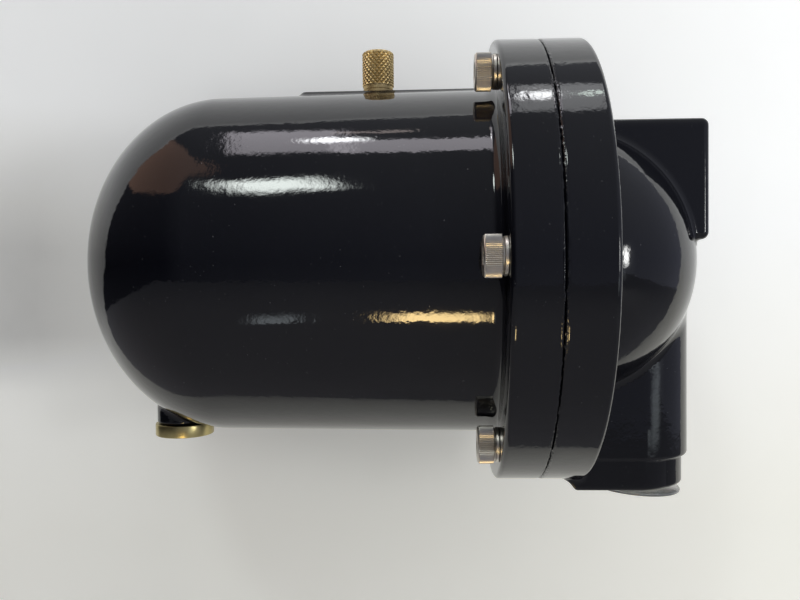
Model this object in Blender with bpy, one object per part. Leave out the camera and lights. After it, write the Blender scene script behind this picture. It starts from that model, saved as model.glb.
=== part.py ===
"""Magnetic system filter for a heating circuit.

A cast bowl and a cast head are bolted together at a round flange.  Water enters through
the block on the head, fills the bowl, turns at its domed end and leaves through the flow
tube, past a rod of magnets, to the outlet under the head.  A knurled cap vents the top of
the bowl and a brass plug drains its lowest point.

Lengths are in metres.  The turned parts share the vessel's axis, which runs along X from
the bowl's dome (-X) to the head (+X); the joint between bowl and head is at x = 0 of the
vessel.  The world's origin is the centre of the outlet's mouth.
"""

import math

import bmesh
import bpy
from mathutils import Matrix, Vector

# ---------------------------------------------------------------- sizes
GAP = 0.0003                     # left between pieces that touch

FLANGE_RADIUS = 0.0800
FLANGE_CORNER = 0.0025           # rounding of the flanges' outer corners
SEAM_CHAMFER = 0.0008            # chamfer where the two flanges meet

# Facets round each kind of turned shape, and steps along its curves.
CASTING_SEGMENTS = 48
PORT_SEGMENTS = 24
BOSS_SEGMENTS = 28
SCREW_SEGMENTS = 18
SCREW_HOLE_SEGMENTS = 12
SMALL_SEGMENTS = 20
DOME_STEPS = 10
CAVITY_STEPS = 7
FILLET_STEPS = 3

BOWL_FLANGE_THICKNESS = 0.0150
BOWL_NECK_INSET = 0.0170         # from the flange's edge in to the barrel
BOWL_DRAFT = 0.0015              # how much the barrel narrows towards the dome
BOWL_BARREL_LENGTH = 0.0980      # from the back of the flange to the dome
BOWL_DOME_DEPTH = 0.0505
BOWL_WALL = 0.0045
NECK_FILLET = 0.0035

PAD_RISE = 0.00215               # top of the vent's pad above the barrel's toe
PAD_HALF_WIDTH = 0.0066
PAD_LENGTH = 0.0701              # from the back of the flange
PAD_EDGE = 0.0008

VENT_SETBACK = 0.0417            # from the back of the flange to the vent's axis
VENT_CAP_RADIUS = 0.0058
VENT_CAP_HEIGHT = 0.0145
VENT_CAP_EDGE = 0.0010
VENT_COLLAR_HEIGHT = 0.0010
VENT_THREAD_RADIUS = 0.0040
VENT_STEM_RADIUS = 0.0020
VENT_STEM_LENGTH = 0.0062
VENT_SEAL_HEIGHT = 0.0008
VENT_RECESS_WALL = 0.0009

DRAIN_INSET = 0.0201             # from the start of the dome to the drain's axis
DRAIN_BOSS_RADIUS = 0.0101
DRAIN_BOSS_LIFT = 0.0013         # end of the boss above the barrel's lowest line
DRAIN_THREAD_RADIUS = 0.0066
DRAIN_THREAD_LENGTH = 0.0085
DRAIN_HEAD_RADIUS = 0.0109
DRAIN_HEAD_HEIGHT = 0.0046
DRAIN_HEAD_EDGE = 0.0005
DRAIN_THREAD_CHAMFER = 0.0010
DRAIN_SOCKET_WIDTH = 0.0060      # across flats
DRAIN_SOCKET_DEPTH = 0.0060
DRAIN_SEAL_HEIGHT = 0.0012
DRAIN_SEAL_WIDTH = 0.0018

SCREW_COUNT = 6
SCREW_INSET = 0.0085             # from the flange's edge in to the screws' circle
SCREW_RADIUS = 0.0040            # M8
SCREW_LENGTH = 0.0250
SCREW_HEAD_RADIUS = 0.0065
SCREW_HEAD_HEIGHT = 0.0050       # low head
SCREW_HEAD_EDGE = 0.0007
SCREW_SOCKET_WIDTH = 0.0060
SCREW_SOCKET_DEPTH = 0.0032
SCREW_POINT = 0.0010             # chamfer at the tip
SCREW_HOLE_CLEARANCE = 0.0005    # in the bowl's flange, on the radius
TAPPED_HOLE_DEPTH = 0.0110
WASHER_RADIUS = 0.0059
WASHER_THICKNESS = 0.0011
WASHER_SPLIT = 0.0010            # width of the cut through a spring washer
WASHER_STEPS = 16

HEAD_FLANGE_THICKNESS = 0.0150
HEAD_DOME_RADIUS = 0.0510
HEAD_DOME_CENTRE = 0.0082        # from the joint
HEAD_FILLET = 0.0040

INLET_HEIGHT = 0.0275            # port axis above the vessel's axis
BLOCK_HALF_WIDTH = 0.0240
BLOCK_HALF_HEIGHT = 0.0210
BLOCK_FACE = 0.0593              # from the joint
BLOCK_EDGE = 0.0020

OUTLET_SETBACK = 0.0378          # outlet axis from the joint
OUTLET_DROP = 0.0820             # outlet mouth below the vessel's axis
BOSS_RADIUS = 0.0198
BOSS_TOP = 0.0100                # hidden top of the boss, below the vessel's axis
BOSS_WEB_START = 0.0095          # the web's back end, from the joint
BOSS_WEB_CHAMFER_LENGTH = 0.0040
BOSS_WEB_CHAMFER_HEIGHT = 0.0050
BOSS_WEB_STEP = 0.0010           # how much further back the web starts above the collar
BOSS_EDGE = 0.0015               # rounding of the step down to the collar
COLLAR_RADIUS = 0.0179
COLLAR_HEIGHT = 0.0104
COLLAR_EDGE = 0.0012             # rounding round the outlet's mouth

PORT_RADIUS = 0.0121             # tapping size of a G 3/4 thread
PORT_DEPTH = 0.0180
SPOTFACE_CLEARANCE = 0.0005      # round the plug's flange, at the inlet
SPOTFACE_DEPTH = 0.0010
PASSAGE_RADIUS = 0.0095
DRILL_POINT_SLOPE = 0.6          # length of a drilled hole's pointed end, per radius
INLET_PASSAGE_HEIGHT = 0.0380    # where the inlet passage opens into the bowl

PLUG_FLANGE_RADIUS = 0.0174
PLUG_FLANGE_THICKNESS = 0.0034
PLUG_SPIGOT_LENGTH = 0.0120
PLUG_WALL = 0.0015
PLUG_EDGE = 0.0006

SEAL_GROOVE_INSET = 0.0003       # middle of the flange seal's groove inside the neck
SEAL_GROOVE_WIDTH = 0.0042
SEAL_GROOVE_DEPTH = 0.0030
SEAL_SEGMENTS = 48
RING_SIDES = 6                   # sides of an O-ring's section

TUBE_RADIUS = 0.0200
TUBE_WALL = 0.0012
TUBE_LENGTH = 0.1160             # from the joint into the bowl
TUBE_COLLAR_RADIUS = 0.0217
TUBE_COLLAR_LENGTH = 0.0140
TUBE_SOCKET_DEPTH = 0.0080       # how far the collar enters the head
TUBE_SEAL_WIDTH = 0.0026
TUBE_SEAL_DEPTH = 0.0018
TUBE_SEGMENTS = 32
CHAMBER_RADIUS = 0.0160
CHAMBER_DEPTH = 0.0340           # from the joint
CHAMBER_CORNER = 0.0040          # chamfer round the chamber's end

SHEATH_RADIUS = 0.0095
SHEATH_WALL = 0.0008
MAGNET_COUNT = 4
ROD_ALLOWANCE = 0.0440           # the tube's length beyond that of its magnets
POLE_LENGTH = 0.0030
STACK_PLAY = 0.0001              # between the discs of the magnet stack
SHEATH_CAP_LENGTH = 0.0040
SHEATH_CAP_PLUG = 0.0030         # the part of a cap inside the sheath
ROD_SEGMENTS = 20

SPIDER_THICKNESS = 0.0030
SPIDER_HUB_WALL = 0.0030
SPIDER_ARM_WIDTH = 0.0040
SPIDER_ARMS = 3
SPIDER_HUB_STEPS = 6             # facets of the hub between two arms
FRONT_SPIDER_INSET = 0.0040      # from the joint into the bowl
REAR_SPIDER_INSET = 0.0140       # from the tube's far end

STUD_RADIUS = 0.0040
NUT_WIDTH = 0.0130               # across flats
NUT_HEIGHT = 0.0065
NUT_WASHER_RADIUS = 0.0075
NUT_WASHER_THICKNESS = 0.0016
STUD_TIP = 0.0020                # the stud's length past its nut

# ---------------------------------------------------------------- places
BOWL_NECK_RADIUS = FLANGE_RADIUS - BOWL_NECK_INSET
BOWL_TOE_RADIUS = BOWL_NECK_RADIUS - BOWL_DRAFT
PAD_HEIGHT = BOWL_TOE_RADIUS + PAD_RISE
DRAIN_BOSS_DROP = BOWL_TOE_RADIUS - DRAIN_BOSS_LIFT
SCREW_CIRCLE_RADIUS = FLANGE_RADIUS - SCREW_INSET
SEAL_GROOVE_RADIUS = BOWL_NECK_RADIUS - SEAL_GROOVE_INSET
MAGNET_LENGTH = (TUBE_LENGTH - ROD_ALLOWANCE) / MAGNET_COUNT
BOWL_FLANGE_BACK = -BOWL_FLANGE_THICKNESS
DOME_START = BOWL_FLANGE_BACK - BOWL_BARREL_LENGTH
VENT_X = BOWL_FLANGE_BACK - VENT_SETBACK
DRAIN_X = DOME_START - DRAIN_INSET
HEAD_BACK = GAP + HEAD_FLANGE_THICKNESS
CUT_OVERRUN = 0.0020             # how far a cutter runs past the face it opens
ON_AXIS = 1e-6                   # a profile point this close to the axis lies on it

X_AXIS = Vector((1, 0, 0))

PAINT = ("black_paint", (0.012, 0.013, 0.016), 0.15, 0.0)
BRASS = ("brass", (0.52, 0.40, 0.17), 0.35, 1.0)
NICKEL = ("nickel_steel", (0.55, 0.51, 0.46), 0.30, 1.0)
STAINLESS = ("stainless_steel", (0.62, 0.61, 0.59), 0.25, 1.0)
RUBBER = ("seal_rubber", (0.02, 0.02, 0.02), 0.70, 0.0)
POLYTHENE = ("clear_polythene", (0.75, 0.76, 0.74), 0.40, 0.0)
MAGNET = ("magnet", (0.45, 0.45, 0.46), 0.35, 1.0)
POLE_STEEL = ("pole_steel", (0.35, 0.34, 0.33), 0.40, 1.0)


# ---------------------------------------------------------------- scene helpers
def clear_scene():
    for item in list(bpy.data.objects):
        bpy.data.objects.remove(item, do_unlink=True)


def material(finish):
    name, colour, roughness, metallic = finish
    found = bpy.data.materials.get(name)
    if found:
        return found
    made = bpy.data.materials.new(name)
    made.use_nodes = True
    shader = made.node_tree.nodes["Principled BSDF"]
    shader.inputs["Base Color"].default_value = (*colour, 1.0)
    shader.inputs["Roughness"].default_value = roughness
    shader.inputs["Metallic"].default_value = metallic
    made.diffuse_color = (*colour, 1.0)
    return made


def vessel_frame():
    """An empty on the vessel's axis, at the joint, that carries every piece."""
    frame = bpy.data.objects.new("vessel_frame", None)
    frame.location = (-OUTLET_SETBACK, 0.0, OUTLET_DROP)
    bpy.context.collection.objects.link(frame)
    return frame


def add_object(name, mesh, frame, place=(0.0, 0.0, 0.0), turn=None):
    made = bpy.data.objects.new(name, mesh)
    bpy.context.collection.objects.link(made)
    made.parent = frame
    made.location = place
    if turn is not None:
        made.rotation_euler = turn.to_euler()
    return made


def finish_mesh(shape, name):
    """Turn a bmesh into a mesh whose faces point out and whose round faces are smooth."""
    bmesh.ops.recalc_face_normals(shape, faces=shape.faces)
    mesh = bpy.data.meshes.new(name)
    shape.to_mesh(mesh)
    shape.free()
    mesh.shade_smooth()
    mesh.set_sharp_from_angle(angle=math.radians(35))
    return mesh


def piece(name, shape, finish, frame, place=(0.0, 0.0, 0.0), turn=None):
    mesh = finish_mesh(shape, name)
    mesh.materials.append(material(finish))
    return add_object(name, mesh, frame, place, turn)


def boolean(target, shape, operation, label):
    """Join a shape to a piece or cut it out; the shape stays in the file as a hidden guide."""
    guide = add_object(label, finish_mesh(shape, label), target.parent)
    guide.hide_render = True
    guide.display_type = "WIRE"
    change = target.modifiers.new(label, "BOOLEAN")
    change.operation = operation
    change.solver = "EXACT"
    change.object = guide


# ---------------------------------------------------------------- profiles
def arc(centre, radius, start, end, steps):
    """Points (along, radius) on an arc, from one angle in degrees to another."""
    points = []
    for step in range(steps + 1):
        angle = math.radians(start + (end - start) * step / steps)
        along = centre[0] + radius * math.cos(angle)
        points.append((along, centre[1] + radius * math.sin(angle)))
    return points


def elliptical_dome(start, depth, radius, steps):
    """Points from the rim of a dome that bulges towards -X to its tip on the axis."""
    points = []
    for step in range(1, steps + 1):
        angle = 0.5 * math.pi * step / steps
        points.append((start - depth * math.sin(angle), radius * math.cos(angle)))
    return points


# ---------------------------------------------------------------- turned and cut shapes
def turned(profile, segments, closed=False, axis="X"):
    """Turn a profile of (along, radius) points about an axis.

    An open profile starts and ends on the axis; a closed one makes a ring.  The middle
    of each facet lies on the true circle, so the extent along Y and Z is exact.
    """
    shape = bmesh.new()
    rings = []
    for along, radius in profile:
        if radius < ON_AXIS:
            rings.append([shape.verts.new((along, 0.0, 0.0))])
            continue
        ring = []
        reach = radius / math.cos(math.pi / segments)
        for step in range(segments):
            angle = 2 * math.pi * (step + 0.5) / segments
            spot = (along, reach * math.cos(angle), reach * math.sin(angle))
            ring.append(shape.verts.new(spot))
        rings.append(ring)
    pairs = list(zip(rings, rings[1:]))
    if closed:
        pairs.append((rings[-1], rings[0]))
    for first, second in pairs:
        bridge(shape, first, second, segments)
    if axis == "Z":
        bmesh.ops.rotate(shape, verts=shape.verts, matrix=Matrix.Rotation(-math.pi / 2, 3, "Y"))
    return shape


def bridge(shape, first, second, segments):
    """Faces between two neighbouring rings, either of which may be a point on the axis."""
    for step in range(segments):
        after = (step + 1) % segments
        if len(first) == 1:
            corners = (first[0], second[after], second[step])
        elif len(second) == 1:
            corners = (first[step], first[after], second[0])
        else:
            corners = (first[step], first[after], second[after], second[step])
        shape.faces.new(corners)


def cylinder(start, end, radius, segments, axis="X"):
    profile = [(start, 0.0), (start, radius), (end, radius), (end, 0.0)]
    return turned(profile, segments, axis=axis)


def pipe(start, end, outer, inner, segments, axis="X"):
    profile = [(start, inner), (start, outer), (end, outer), (end, inner)]
    return turned(profile, segments, closed=True, axis=axis)


def moved(shape, offset):
    bmesh.ops.translate(shape, verts=shape.verts, vec=offset)
    return shape


def prism(outline, bottom, top):
    """Extrude a flat outline of (x, y) points from one height to another."""
    shape = bmesh.new()
    base = shape.faces.new([shape.verts.new((x, y, bottom)) for x, y in outline])
    grown = bmesh.ops.extrude_face_region(shape, geom=[base])
    top_verts = [item for item in grown["geom"] if isinstance(item, bmesh.types.BMVert)]
    bmesh.ops.translate(shape, verts=top_verts, vec=(0, 0, top - bottom))
    bmesh.ops.recalc_face_normals(shape, faces=shape.faces)
    return shape


def lofted(levels):
    """Skin a stack of (height, outline) levels whose outlines have as many points each."""
    shape = bmesh.new()
    rings = [[shape.verts.new((x, y, height)) for x, y in outline]
             for height, outline in levels]
    for first, second in zip(rings, rings[1:]):
        bridge(shape, first, second, len(first))
    shape.faces.new(rings[0])
    shape.faces.new(reversed(rings[-1]))
    bmesh.ops.recalc_face_normals(shape, faces=shape.faces)
    return shape


def hexagon(width):
    """Corners of a hexagon with the given width across its flats."""
    radius = width / math.sqrt(3)
    return [(radius * math.cos(math.pi * k / 3), radius * math.sin(math.pi * k / 3))
            for k in range(6)]


def box(low, high):
    shape = bmesh.new()
    bmesh.ops.create_cube(shape, size=1.0)
    size = [b - a for a, b in zip(low, high)]
    middle = [(a + b) / 2 for a, b in zip(low, high)]
    bmesh.ops.scale(shape, verts=shape.verts, vec=size)
    return moved(shape, middle)


def round_edges(shape, width, steps, wanted):
    edges = [edge for edge in shape.edges if wanted(edge)]
    bmesh.ops.bevel(shape, geom=edges, offset=width, segments=steps, profile=0.5,
                    affect="EDGES")
    return shape


def screw_angle(index):
    """Angle of a screw about the vessel's axis, the first at the front (-Y)."""
    return 2 * math.pi * index / SCREW_COUNT - math.pi / 2


def screw_place(index, along):
    angle = screw_angle(index)
    across = SCREW_CIRCLE_RADIUS * math.sin(angle)
    up = SCREW_CIRCLE_RADIUS * math.cos(angle)
    return (along, across, up)


# ---------------------------------------------------------------- bowl
def bowl_outside():
    back = BOWL_FLANGE_BACK
    rim = FLANGE_RADIUS
    profile = [(0.0, 0.0), (0.0, rim - SEAM_CHAMFER), (-SEAM_CHAMFER, rim)]
    profile += arc((back + FLANGE_CORNER, rim - FLANGE_CORNER), FLANGE_CORNER, 90, 180,
                   FILLET_STEPS)
    fillet_centre = (back - NECK_FILLET, BOWL_NECK_RADIUS + NECK_FILLET)
    profile += arc(fillet_centre, NECK_FILLET, 0, -90, FILLET_STEPS)
    profile.append((DOME_START, BOWL_TOE_RADIUS))
    profile += elliptical_dome(DOME_START, BOWL_DOME_DEPTH, BOWL_TOE_RADIUS, DOME_STEPS)
    return turned(profile, CASTING_SEGMENTS)


def bowl_cavity():
    mouth = BOWL_NECK_RADIUS - BOWL_WALL
    toe = BOWL_TOE_RADIUS - BOWL_WALL
    profile = [(CUT_OVERRUN, 0.0), (CUT_OVERRUN, mouth), (0.0, mouth), (DOME_START, toe)]
    profile += elliptical_dome(DOME_START, BOWL_DOME_DEPTH - BOWL_WALL, toe, CAVITY_STEPS)
    return turned(profile, CASTING_SEGMENTS)


def vent_pad():
    low = (BOWL_FLANGE_BACK - PAD_LENGTH, -PAD_HALF_WIDTH, BOWL_TOE_RADIUS - BOWL_WALL / 2)
    high = (BOWL_FLANGE_BACK / 2, PAD_HALF_WIDTH, PAD_HEIGHT)
    shape = box(low, high)
    middle_height = (low[2] + high[2]) / 2
    return round_edges(shape, PAD_EDGE, 2, lambda edge: min(
        vert.co.z for vert in edge.verts) > middle_height)


def build_bowl(frame):
    bowl = piece("bowl", bowl_outside(), PAINT, frame)
    boolean(bowl, vent_pad(), "UNION", "vent_pad")
    boss = cylinder(-DRAIN_BOSS_DROP, -BOWL_TOE_RADIUS / 2, DRAIN_BOSS_RADIUS,
                    BOSS_SEGMENTS, "Z")
    boolean(bowl, moved(boss, (DRAIN_X, 0, 0)), "UNION", "drain_boss")
    boolean(bowl, bowl_cavity(), "DIFFERENCE", "bowl_cavity")
    hole = cylinder(BOWL_TOE_RADIUS / 2, PAD_HEIGHT + CUT_OVERRUN,
                    VENT_THREAD_RADIUS + GAP, SMALL_SEGMENTS, "Z")
    boolean(bowl, moved(hole, (VENT_X, 0, 0)), "DIFFERENCE", "vent_hole")
    hole = cylinder(-DRAIN_BOSS_DROP - CUT_OVERRUN, -BOWL_TOE_RADIUS / 2,
                    DRAIN_THREAD_RADIUS + GAP, PORT_SEGMENTS, "Z")
    boolean(bowl, moved(hole, (DRAIN_X, 0, 0)), "DIFFERENCE", "drain_hole")
    radius = SCREW_RADIUS + SCREW_HOLE_CLEARANCE
    boolean(bowl, screw_holes(BOWL_FLANGE_BACK - CUT_OVERRUN, CUT_OVERRUN, radius),
            "DIFFERENCE", "bowl_screw_holes")
    return bowl


def screw_holes(start, end, radius):
    """One cutter for the whole circle of screw holes."""
    shape = bmesh.new()
    for index in range(SCREW_COUNT):
        hole = moved(cylinder(start, end, radius, SCREW_HOLE_SEGMENTS),
                     screw_place(index, 0.0))
        mesh = bpy.data.meshes.new("screw_hole")
        hole.to_mesh(mesh)
        hole.free()
        shape.from_mesh(mesh)
        bpy.data.meshes.remove(mesh)
    return shape


# ---------------------------------------------------------------- head
def head_outside():
    rim = FLANGE_RADIUS
    groove_inner = SEAL_GROOVE_RADIUS - SEAL_GROOVE_WIDTH / 2
    groove_outer = SEAL_GROOVE_RADIUS + SEAL_GROOVE_WIDTH / 2
    groove_floor = GAP + SEAL_GROOVE_DEPTH
    profile = [(GAP, 0.0), (GAP, groove_inner), (groove_floor, groove_inner),
               (groove_floor, groove_outer), (GAP, groove_outer),
               (GAP, rim - SEAM_CHAMFER), (GAP + SEAM_CHAMFER, rim)]
    profile += arc((HEAD_BACK - FLANGE_CORNER, rim - FLANGE_CORNER), FLANGE_CORNER, 90, 0,
                   FILLET_STEPS)
    # The fillet's centre lies HEAD_FILLET above the flange's face and above the dome.
    centre_x = HEAD_BACK + HEAD_FILLET
    reach = HEAD_DOME_RADIUS + HEAD_FILLET
    rise = centre_x - HEAD_DOME_CENTRE
    centre_r = math.sqrt(reach ** 2 - rise ** 2)
    touch = math.degrees(math.atan2(centre_r, rise))
    profile += arc((centre_x, centre_r), HEAD_FILLET, 180, 180 + touch, FILLET_STEPS)
    dome = arc((HEAD_DOME_CENTRE, 0.0), HEAD_DOME_RADIUS, touch, 0, DOME_STEPS)
    profile += dome[1:]
    return turned(profile, CASTING_SEGMENTS)


def inlet_block():
    low = (HEAD_BACK / 2, -BLOCK_HALF_WIDTH, INLET_HEIGHT - BLOCK_HALF_HEIGHT)
    high = (BLOCK_FACE, BLOCK_HALF_WIDTH, INLET_HEIGHT + BLOCK_HALF_HEIGHT)
    shape = box(low, high)
    back = low[0]
    return round_edges(shape, BLOCK_EDGE, FILLET_STEPS, lambda edge: max(
        vert.co.x for vert in edge.verts) > back + BLOCK_EDGE)


def boss_outline(radius, start):
    """A straight web that ends in a half circle about the outlet's axis."""
    end = arc((OUTLET_SETBACK, 0.0), radius, 90, -90, 2 * DOME_STEPS)
    return [(start, -radius), (start, radius)] + end


def outlet_boss():
    """The boss with its collar: a loft of outlines from the mouth up into the dome."""
    mouth = -OUTLET_DROP
    step = mouth + COLLAR_HEIGHT
    chamfer_share = COLLAR_EDGE / BOSS_WEB_CHAMFER_HEIGHT
    edge_start = BOSS_WEB_START + BOSS_WEB_CHAMFER_LENGTH * (1 - chamfer_share)
    levels = [
        (mouth, COLLAR_RADIUS - COLLAR_EDGE, BOSS_WEB_START + BOSS_WEB_CHAMFER_LENGTH),
        (mouth + COLLAR_EDGE, COLLAR_RADIUS, edge_start),
        (mouth + BOSS_WEB_CHAMFER_HEIGHT, COLLAR_RADIUS, BOSS_WEB_START),
        (step, COLLAR_RADIUS, BOSS_WEB_START),
        (step, BOSS_RADIUS - BOSS_EDGE, BOSS_WEB_START - BOSS_WEB_STEP),
        (step + BOSS_EDGE, BOSS_RADIUS, BOSS_WEB_START - BOSS_WEB_STEP),
        (-BOSS_TOP, BOSS_RADIUS, BOSS_WEB_START - BOSS_WEB_STEP),
    ]
    return lofted([(height, boss_outline(radius, start)) for height, radius, start in levels])


def head_hollows():
    """The socket for the flow tube and the chamber behind it."""
    start = GAP - CUT_OVERRUN
    socket = TUBE_COLLAR_RADIUS + GAP
    profile = [(start, 0.0), (start, socket), (TUBE_SOCKET_DEPTH + GAP, socket),
               (TUBE_SOCKET_DEPTH + GAP, CHAMBER_RADIUS),
               (CHAMBER_DEPTH - CHAMBER_CORNER, CHAMBER_RADIUS),
               (CHAMBER_DEPTH, CHAMBER_RADIUS - CHAMBER_CORNER), (CHAMBER_DEPTH, 0.0)]
    return turned(profile, TUBE_SEGMENTS)


def inlet_port():
    """Spot face and tapped bore of the inlet, which opens towards +X."""
    spot = PLUG_FLANGE_RADIUS + SPOTFACE_CLEARANCE
    profile = [(CUT_OVERRUN, 0.0), (CUT_OVERRUN, spot), (-SPOTFACE_DEPTH, spot),
               (-SPOTFACE_DEPTH, PORT_RADIUS), (-PORT_DEPTH, PORT_RADIUS),
               (-PORT_DEPTH - DRILL_POINT_SLOPE * PORT_RADIUS, 0.0)]
    return moved(turned(profile, PORT_SEGMENTS), (BLOCK_FACE, 0, INLET_HEIGHT))


def inlet_passage():
    """A sloping hole from the inlet's bore to the bowl, above the tube's socket."""
    inner_end = Vector((BLOCK_FACE - PORT_DEPTH, 0, INLET_HEIGHT))
    mouth = Vector((GAP, 0, INLET_PASSAGE_HEIGHT))
    direction = (mouth - inner_end).normalized()
    length = (mouth - inner_end).length + CUT_OVERRUN
    shape = cylinder(0.0, length, PASSAGE_RADIUS, PORT_SEGMENTS)
    turn = X_AXIS.rotation_difference(direction).to_matrix()
    bmesh.ops.rotate(shape, verts=shape.verts, matrix=turn)
    return moved(shape, inner_end)


def outlet_port():
    """Tapped bore of the outlet, and the passage that rises from it to the vessel's axis."""
    narrowing = PORT_RADIUS - PASSAGE_RADIUS
    point = DRILL_POINT_SLOPE * PASSAGE_RADIUS
    profile = [(CUT_OVERRUN, 0.0), (CUT_OVERRUN, PORT_RADIUS), (-PORT_DEPTH, PORT_RADIUS),
               (-PORT_DEPTH - narrowing, PASSAGE_RADIUS),
               (-OUTLET_DROP + point, PASSAGE_RADIUS), (-OUTLET_DROP, 0.0)]
    shape = turned(profile, PORT_SEGMENTS)
    bmesh.ops.rotate(shape, verts=shape.verts, matrix=Matrix.Rotation(math.pi / 2, 3, "Y"))
    return moved(shape, (OUTLET_SETBACK, 0, -OUTLET_DROP))


def build_head(frame):
    head = piece("head", head_outside(), PAINT, frame)
    boolean(head, inlet_block(), "UNION", "inlet_block")
    boolean(head, outlet_boss(), "UNION", "outlet_boss")
    boolean(head, head_hollows(), "DIFFERENCE", "head_hollows")
    boolean(head, outlet_port(), "DIFFERENCE", "outlet_port_cut")
    boolean(head, inlet_port(), "DIFFERENCE", "inlet_port_cut")
    boolean(head, inlet_passage(), "DIFFERENCE", "inlet_passage")
    holes = screw_holes(GAP - CUT_OVERRUN, GAP + TAPPED_HOLE_DEPTH, SCREW_RADIUS + GAP)
    boolean(head, holes, "DIFFERENCE", "tapped_holes")
    return head


def squeezed_ring(middle_radius, low, high, width, segments):
    """An O-ring as it sits in its groove: rounded, and a little flattened."""
    middle = (low + high) / 2
    half_height = (high - low) / 2
    half_width = width / 2
    profile = []
    for step in range(RING_SIDES):
        angle = 2 * math.pi * (step + 0.5) / RING_SIDES
        flat = 1 / math.cos(math.pi / RING_SIDES)
        profile.append((middle + half_height * flat * math.cos(angle),
                        middle_radius + half_width * flat * math.sin(angle)))
    return turned(profile, segments, closed=True)


def build_flange_seal(frame):
    width = SEAL_GROOVE_WIDTH - 2 * GAP
    ring = squeezed_ring(SEAL_GROOVE_RADIUS, GAP, SEAL_GROOVE_DEPTH, width, SEAL_SEGMENTS)
    piece("flange_o_ring", ring, RUBBER, frame)


# ---------------------------------------------------------------- screws
def cap_screw():
    """A socket head cap screw, its seat at 0, its head towards -X and its tip towards +X."""
    top = -SCREW_HEAD_HEIGHT
    edge = SCREW_HEAD_EDGE
    tip = SCREW_LENGTH
    profile = [(top, 0.0), (top, SCREW_HEAD_RADIUS - edge), (top + edge, SCREW_HEAD_RADIUS),
               (0.0, SCREW_HEAD_RADIUS), (0.0, SCREW_RADIUS),
               (tip - SCREW_POINT, SCREW_RADIUS), (tip, SCREW_RADIUS - SCREW_POINT),
               (tip, 0.0)]
    return turned(profile, SCREW_SEGMENTS)


def build_screws(frame):
    seat = BOWL_FLANGE_BACK - WASHER_THICKNESS - 2 * GAP
    for index in range(SCREW_COUNT):
        turn = Matrix.Rotation(-screw_angle(index) - math.pi / 2, 3, "X")
        screw = piece(f"flange_screw_{index + 1}", cap_screw(), NICKEL, frame,
                      screw_place(index, seat), turn)
        socket = prism(hexagon(SCREW_SOCKET_WIDTH), -CUT_OVERRUN, SCREW_SOCKET_DEPTH)
        bmesh.ops.rotate(socket, verts=socket.verts,
                         matrix=Matrix.Rotation(math.pi / 2, 3, "Y"))
        place = Vector(screw_place(index, seat - SCREW_HEAD_HEIGHT))
        boolean(screw, moved(socket, place), "DIFFERENCE", f"hex_socket_{index + 1}")
        piece(f"spring_washer_{index + 1}", split_washer(), NICKEL, frame,
              screw_place(index, BOWL_FLANGE_BACK - GAP), turn)


def split_washer():
    """A spring washer with its cut, lying between 0 and -X."""
    inner = SCREW_RADIUS + GAP
    opening = WASHER_SPLIT / WASHER_RADIUS
    profile = [(0.0, inner), (0.0, WASHER_RADIUS), (-WASHER_THICKNESS, WASHER_RADIUS),
               (-WASHER_THICKNESS, inner)]
    shape = bmesh.new()
    rings = []
    for step in range(WASHER_STEPS + 1):
        angle = opening / 2 + (2 * math.pi - opening) * step / WASHER_STEPS
        rings.append([shape.verts.new((along, radius * math.cos(angle),
                                       radius * math.sin(angle)))
                      for along, radius in profile])
    for first, second in zip(rings, rings[1:]):
        for corner in range(len(profile)):
            after = (corner + 1) % len(profile)
            shape.faces.new((first[corner], first[after], second[after], second[corner]))
    shape.faces.new(rings[0])
    shape.faces.new(reversed(rings[-1]))
    return shape


# ---------------------------------------------------------------- vent
def build_vent(frame):
    seat = PAD_HEIGHT + GAP
    collar_top = seat + VENT_COLLAR_HEIGHT
    thread_end = BOWL_TOE_RADIUS - BOWL_WALL
    bore = VENT_STEM_RADIUS + GAP
    profile = [(thread_end, bore), (thread_end, VENT_THREAD_RADIUS),
               (seat, VENT_THREAD_RADIUS), (seat, VENT_CAP_RADIUS),
               (collar_top, VENT_CAP_RADIUS), (collar_top, bore)]
    body = turned(profile, PORT_SEGMENTS, closed=True, axis="Z")
    piece("vent_body", body, BRASS, frame, (VENT_X, 0, 0))

    # The cap's origin is on its seat; a recess in its underside holds the seal.
    recess = VENT_SEAL_HEIGHT + GAP
    top = VENT_CAP_HEIGHT
    edge = VENT_CAP_EDGE
    tip = -VENT_STEM_LENGTH
    rim = VENT_CAP_RADIUS - VENT_RECESS_WALL
    profile = [(tip, 0.0), (tip + VENT_STEM_RADIUS, VENT_STEM_RADIUS),
               (recess, VENT_STEM_RADIUS), (recess, rim), (0.0, rim),
               (0.0, VENT_CAP_RADIUS)]
    profile += arc((top - edge, VENT_CAP_RADIUS - edge), edge, 90, 0, FILLET_STEPS)
    profile.append((top, 0.0))
    cap_seat = collar_top + GAP
    cap = turned(profile, PORT_SEGMENTS, axis="Z")
    piece("vent_cap", cap, BRASS, frame, (VENT_X, 0, cap_seat))
    seal = pipe(0.0, VENT_SEAL_HEIGHT, rim - GAP, bore, SMALL_SEGMENTS, "Z")
    piece("vent_seal", seal, RUBBER, frame, (VENT_X, 0, cap_seat))


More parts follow.
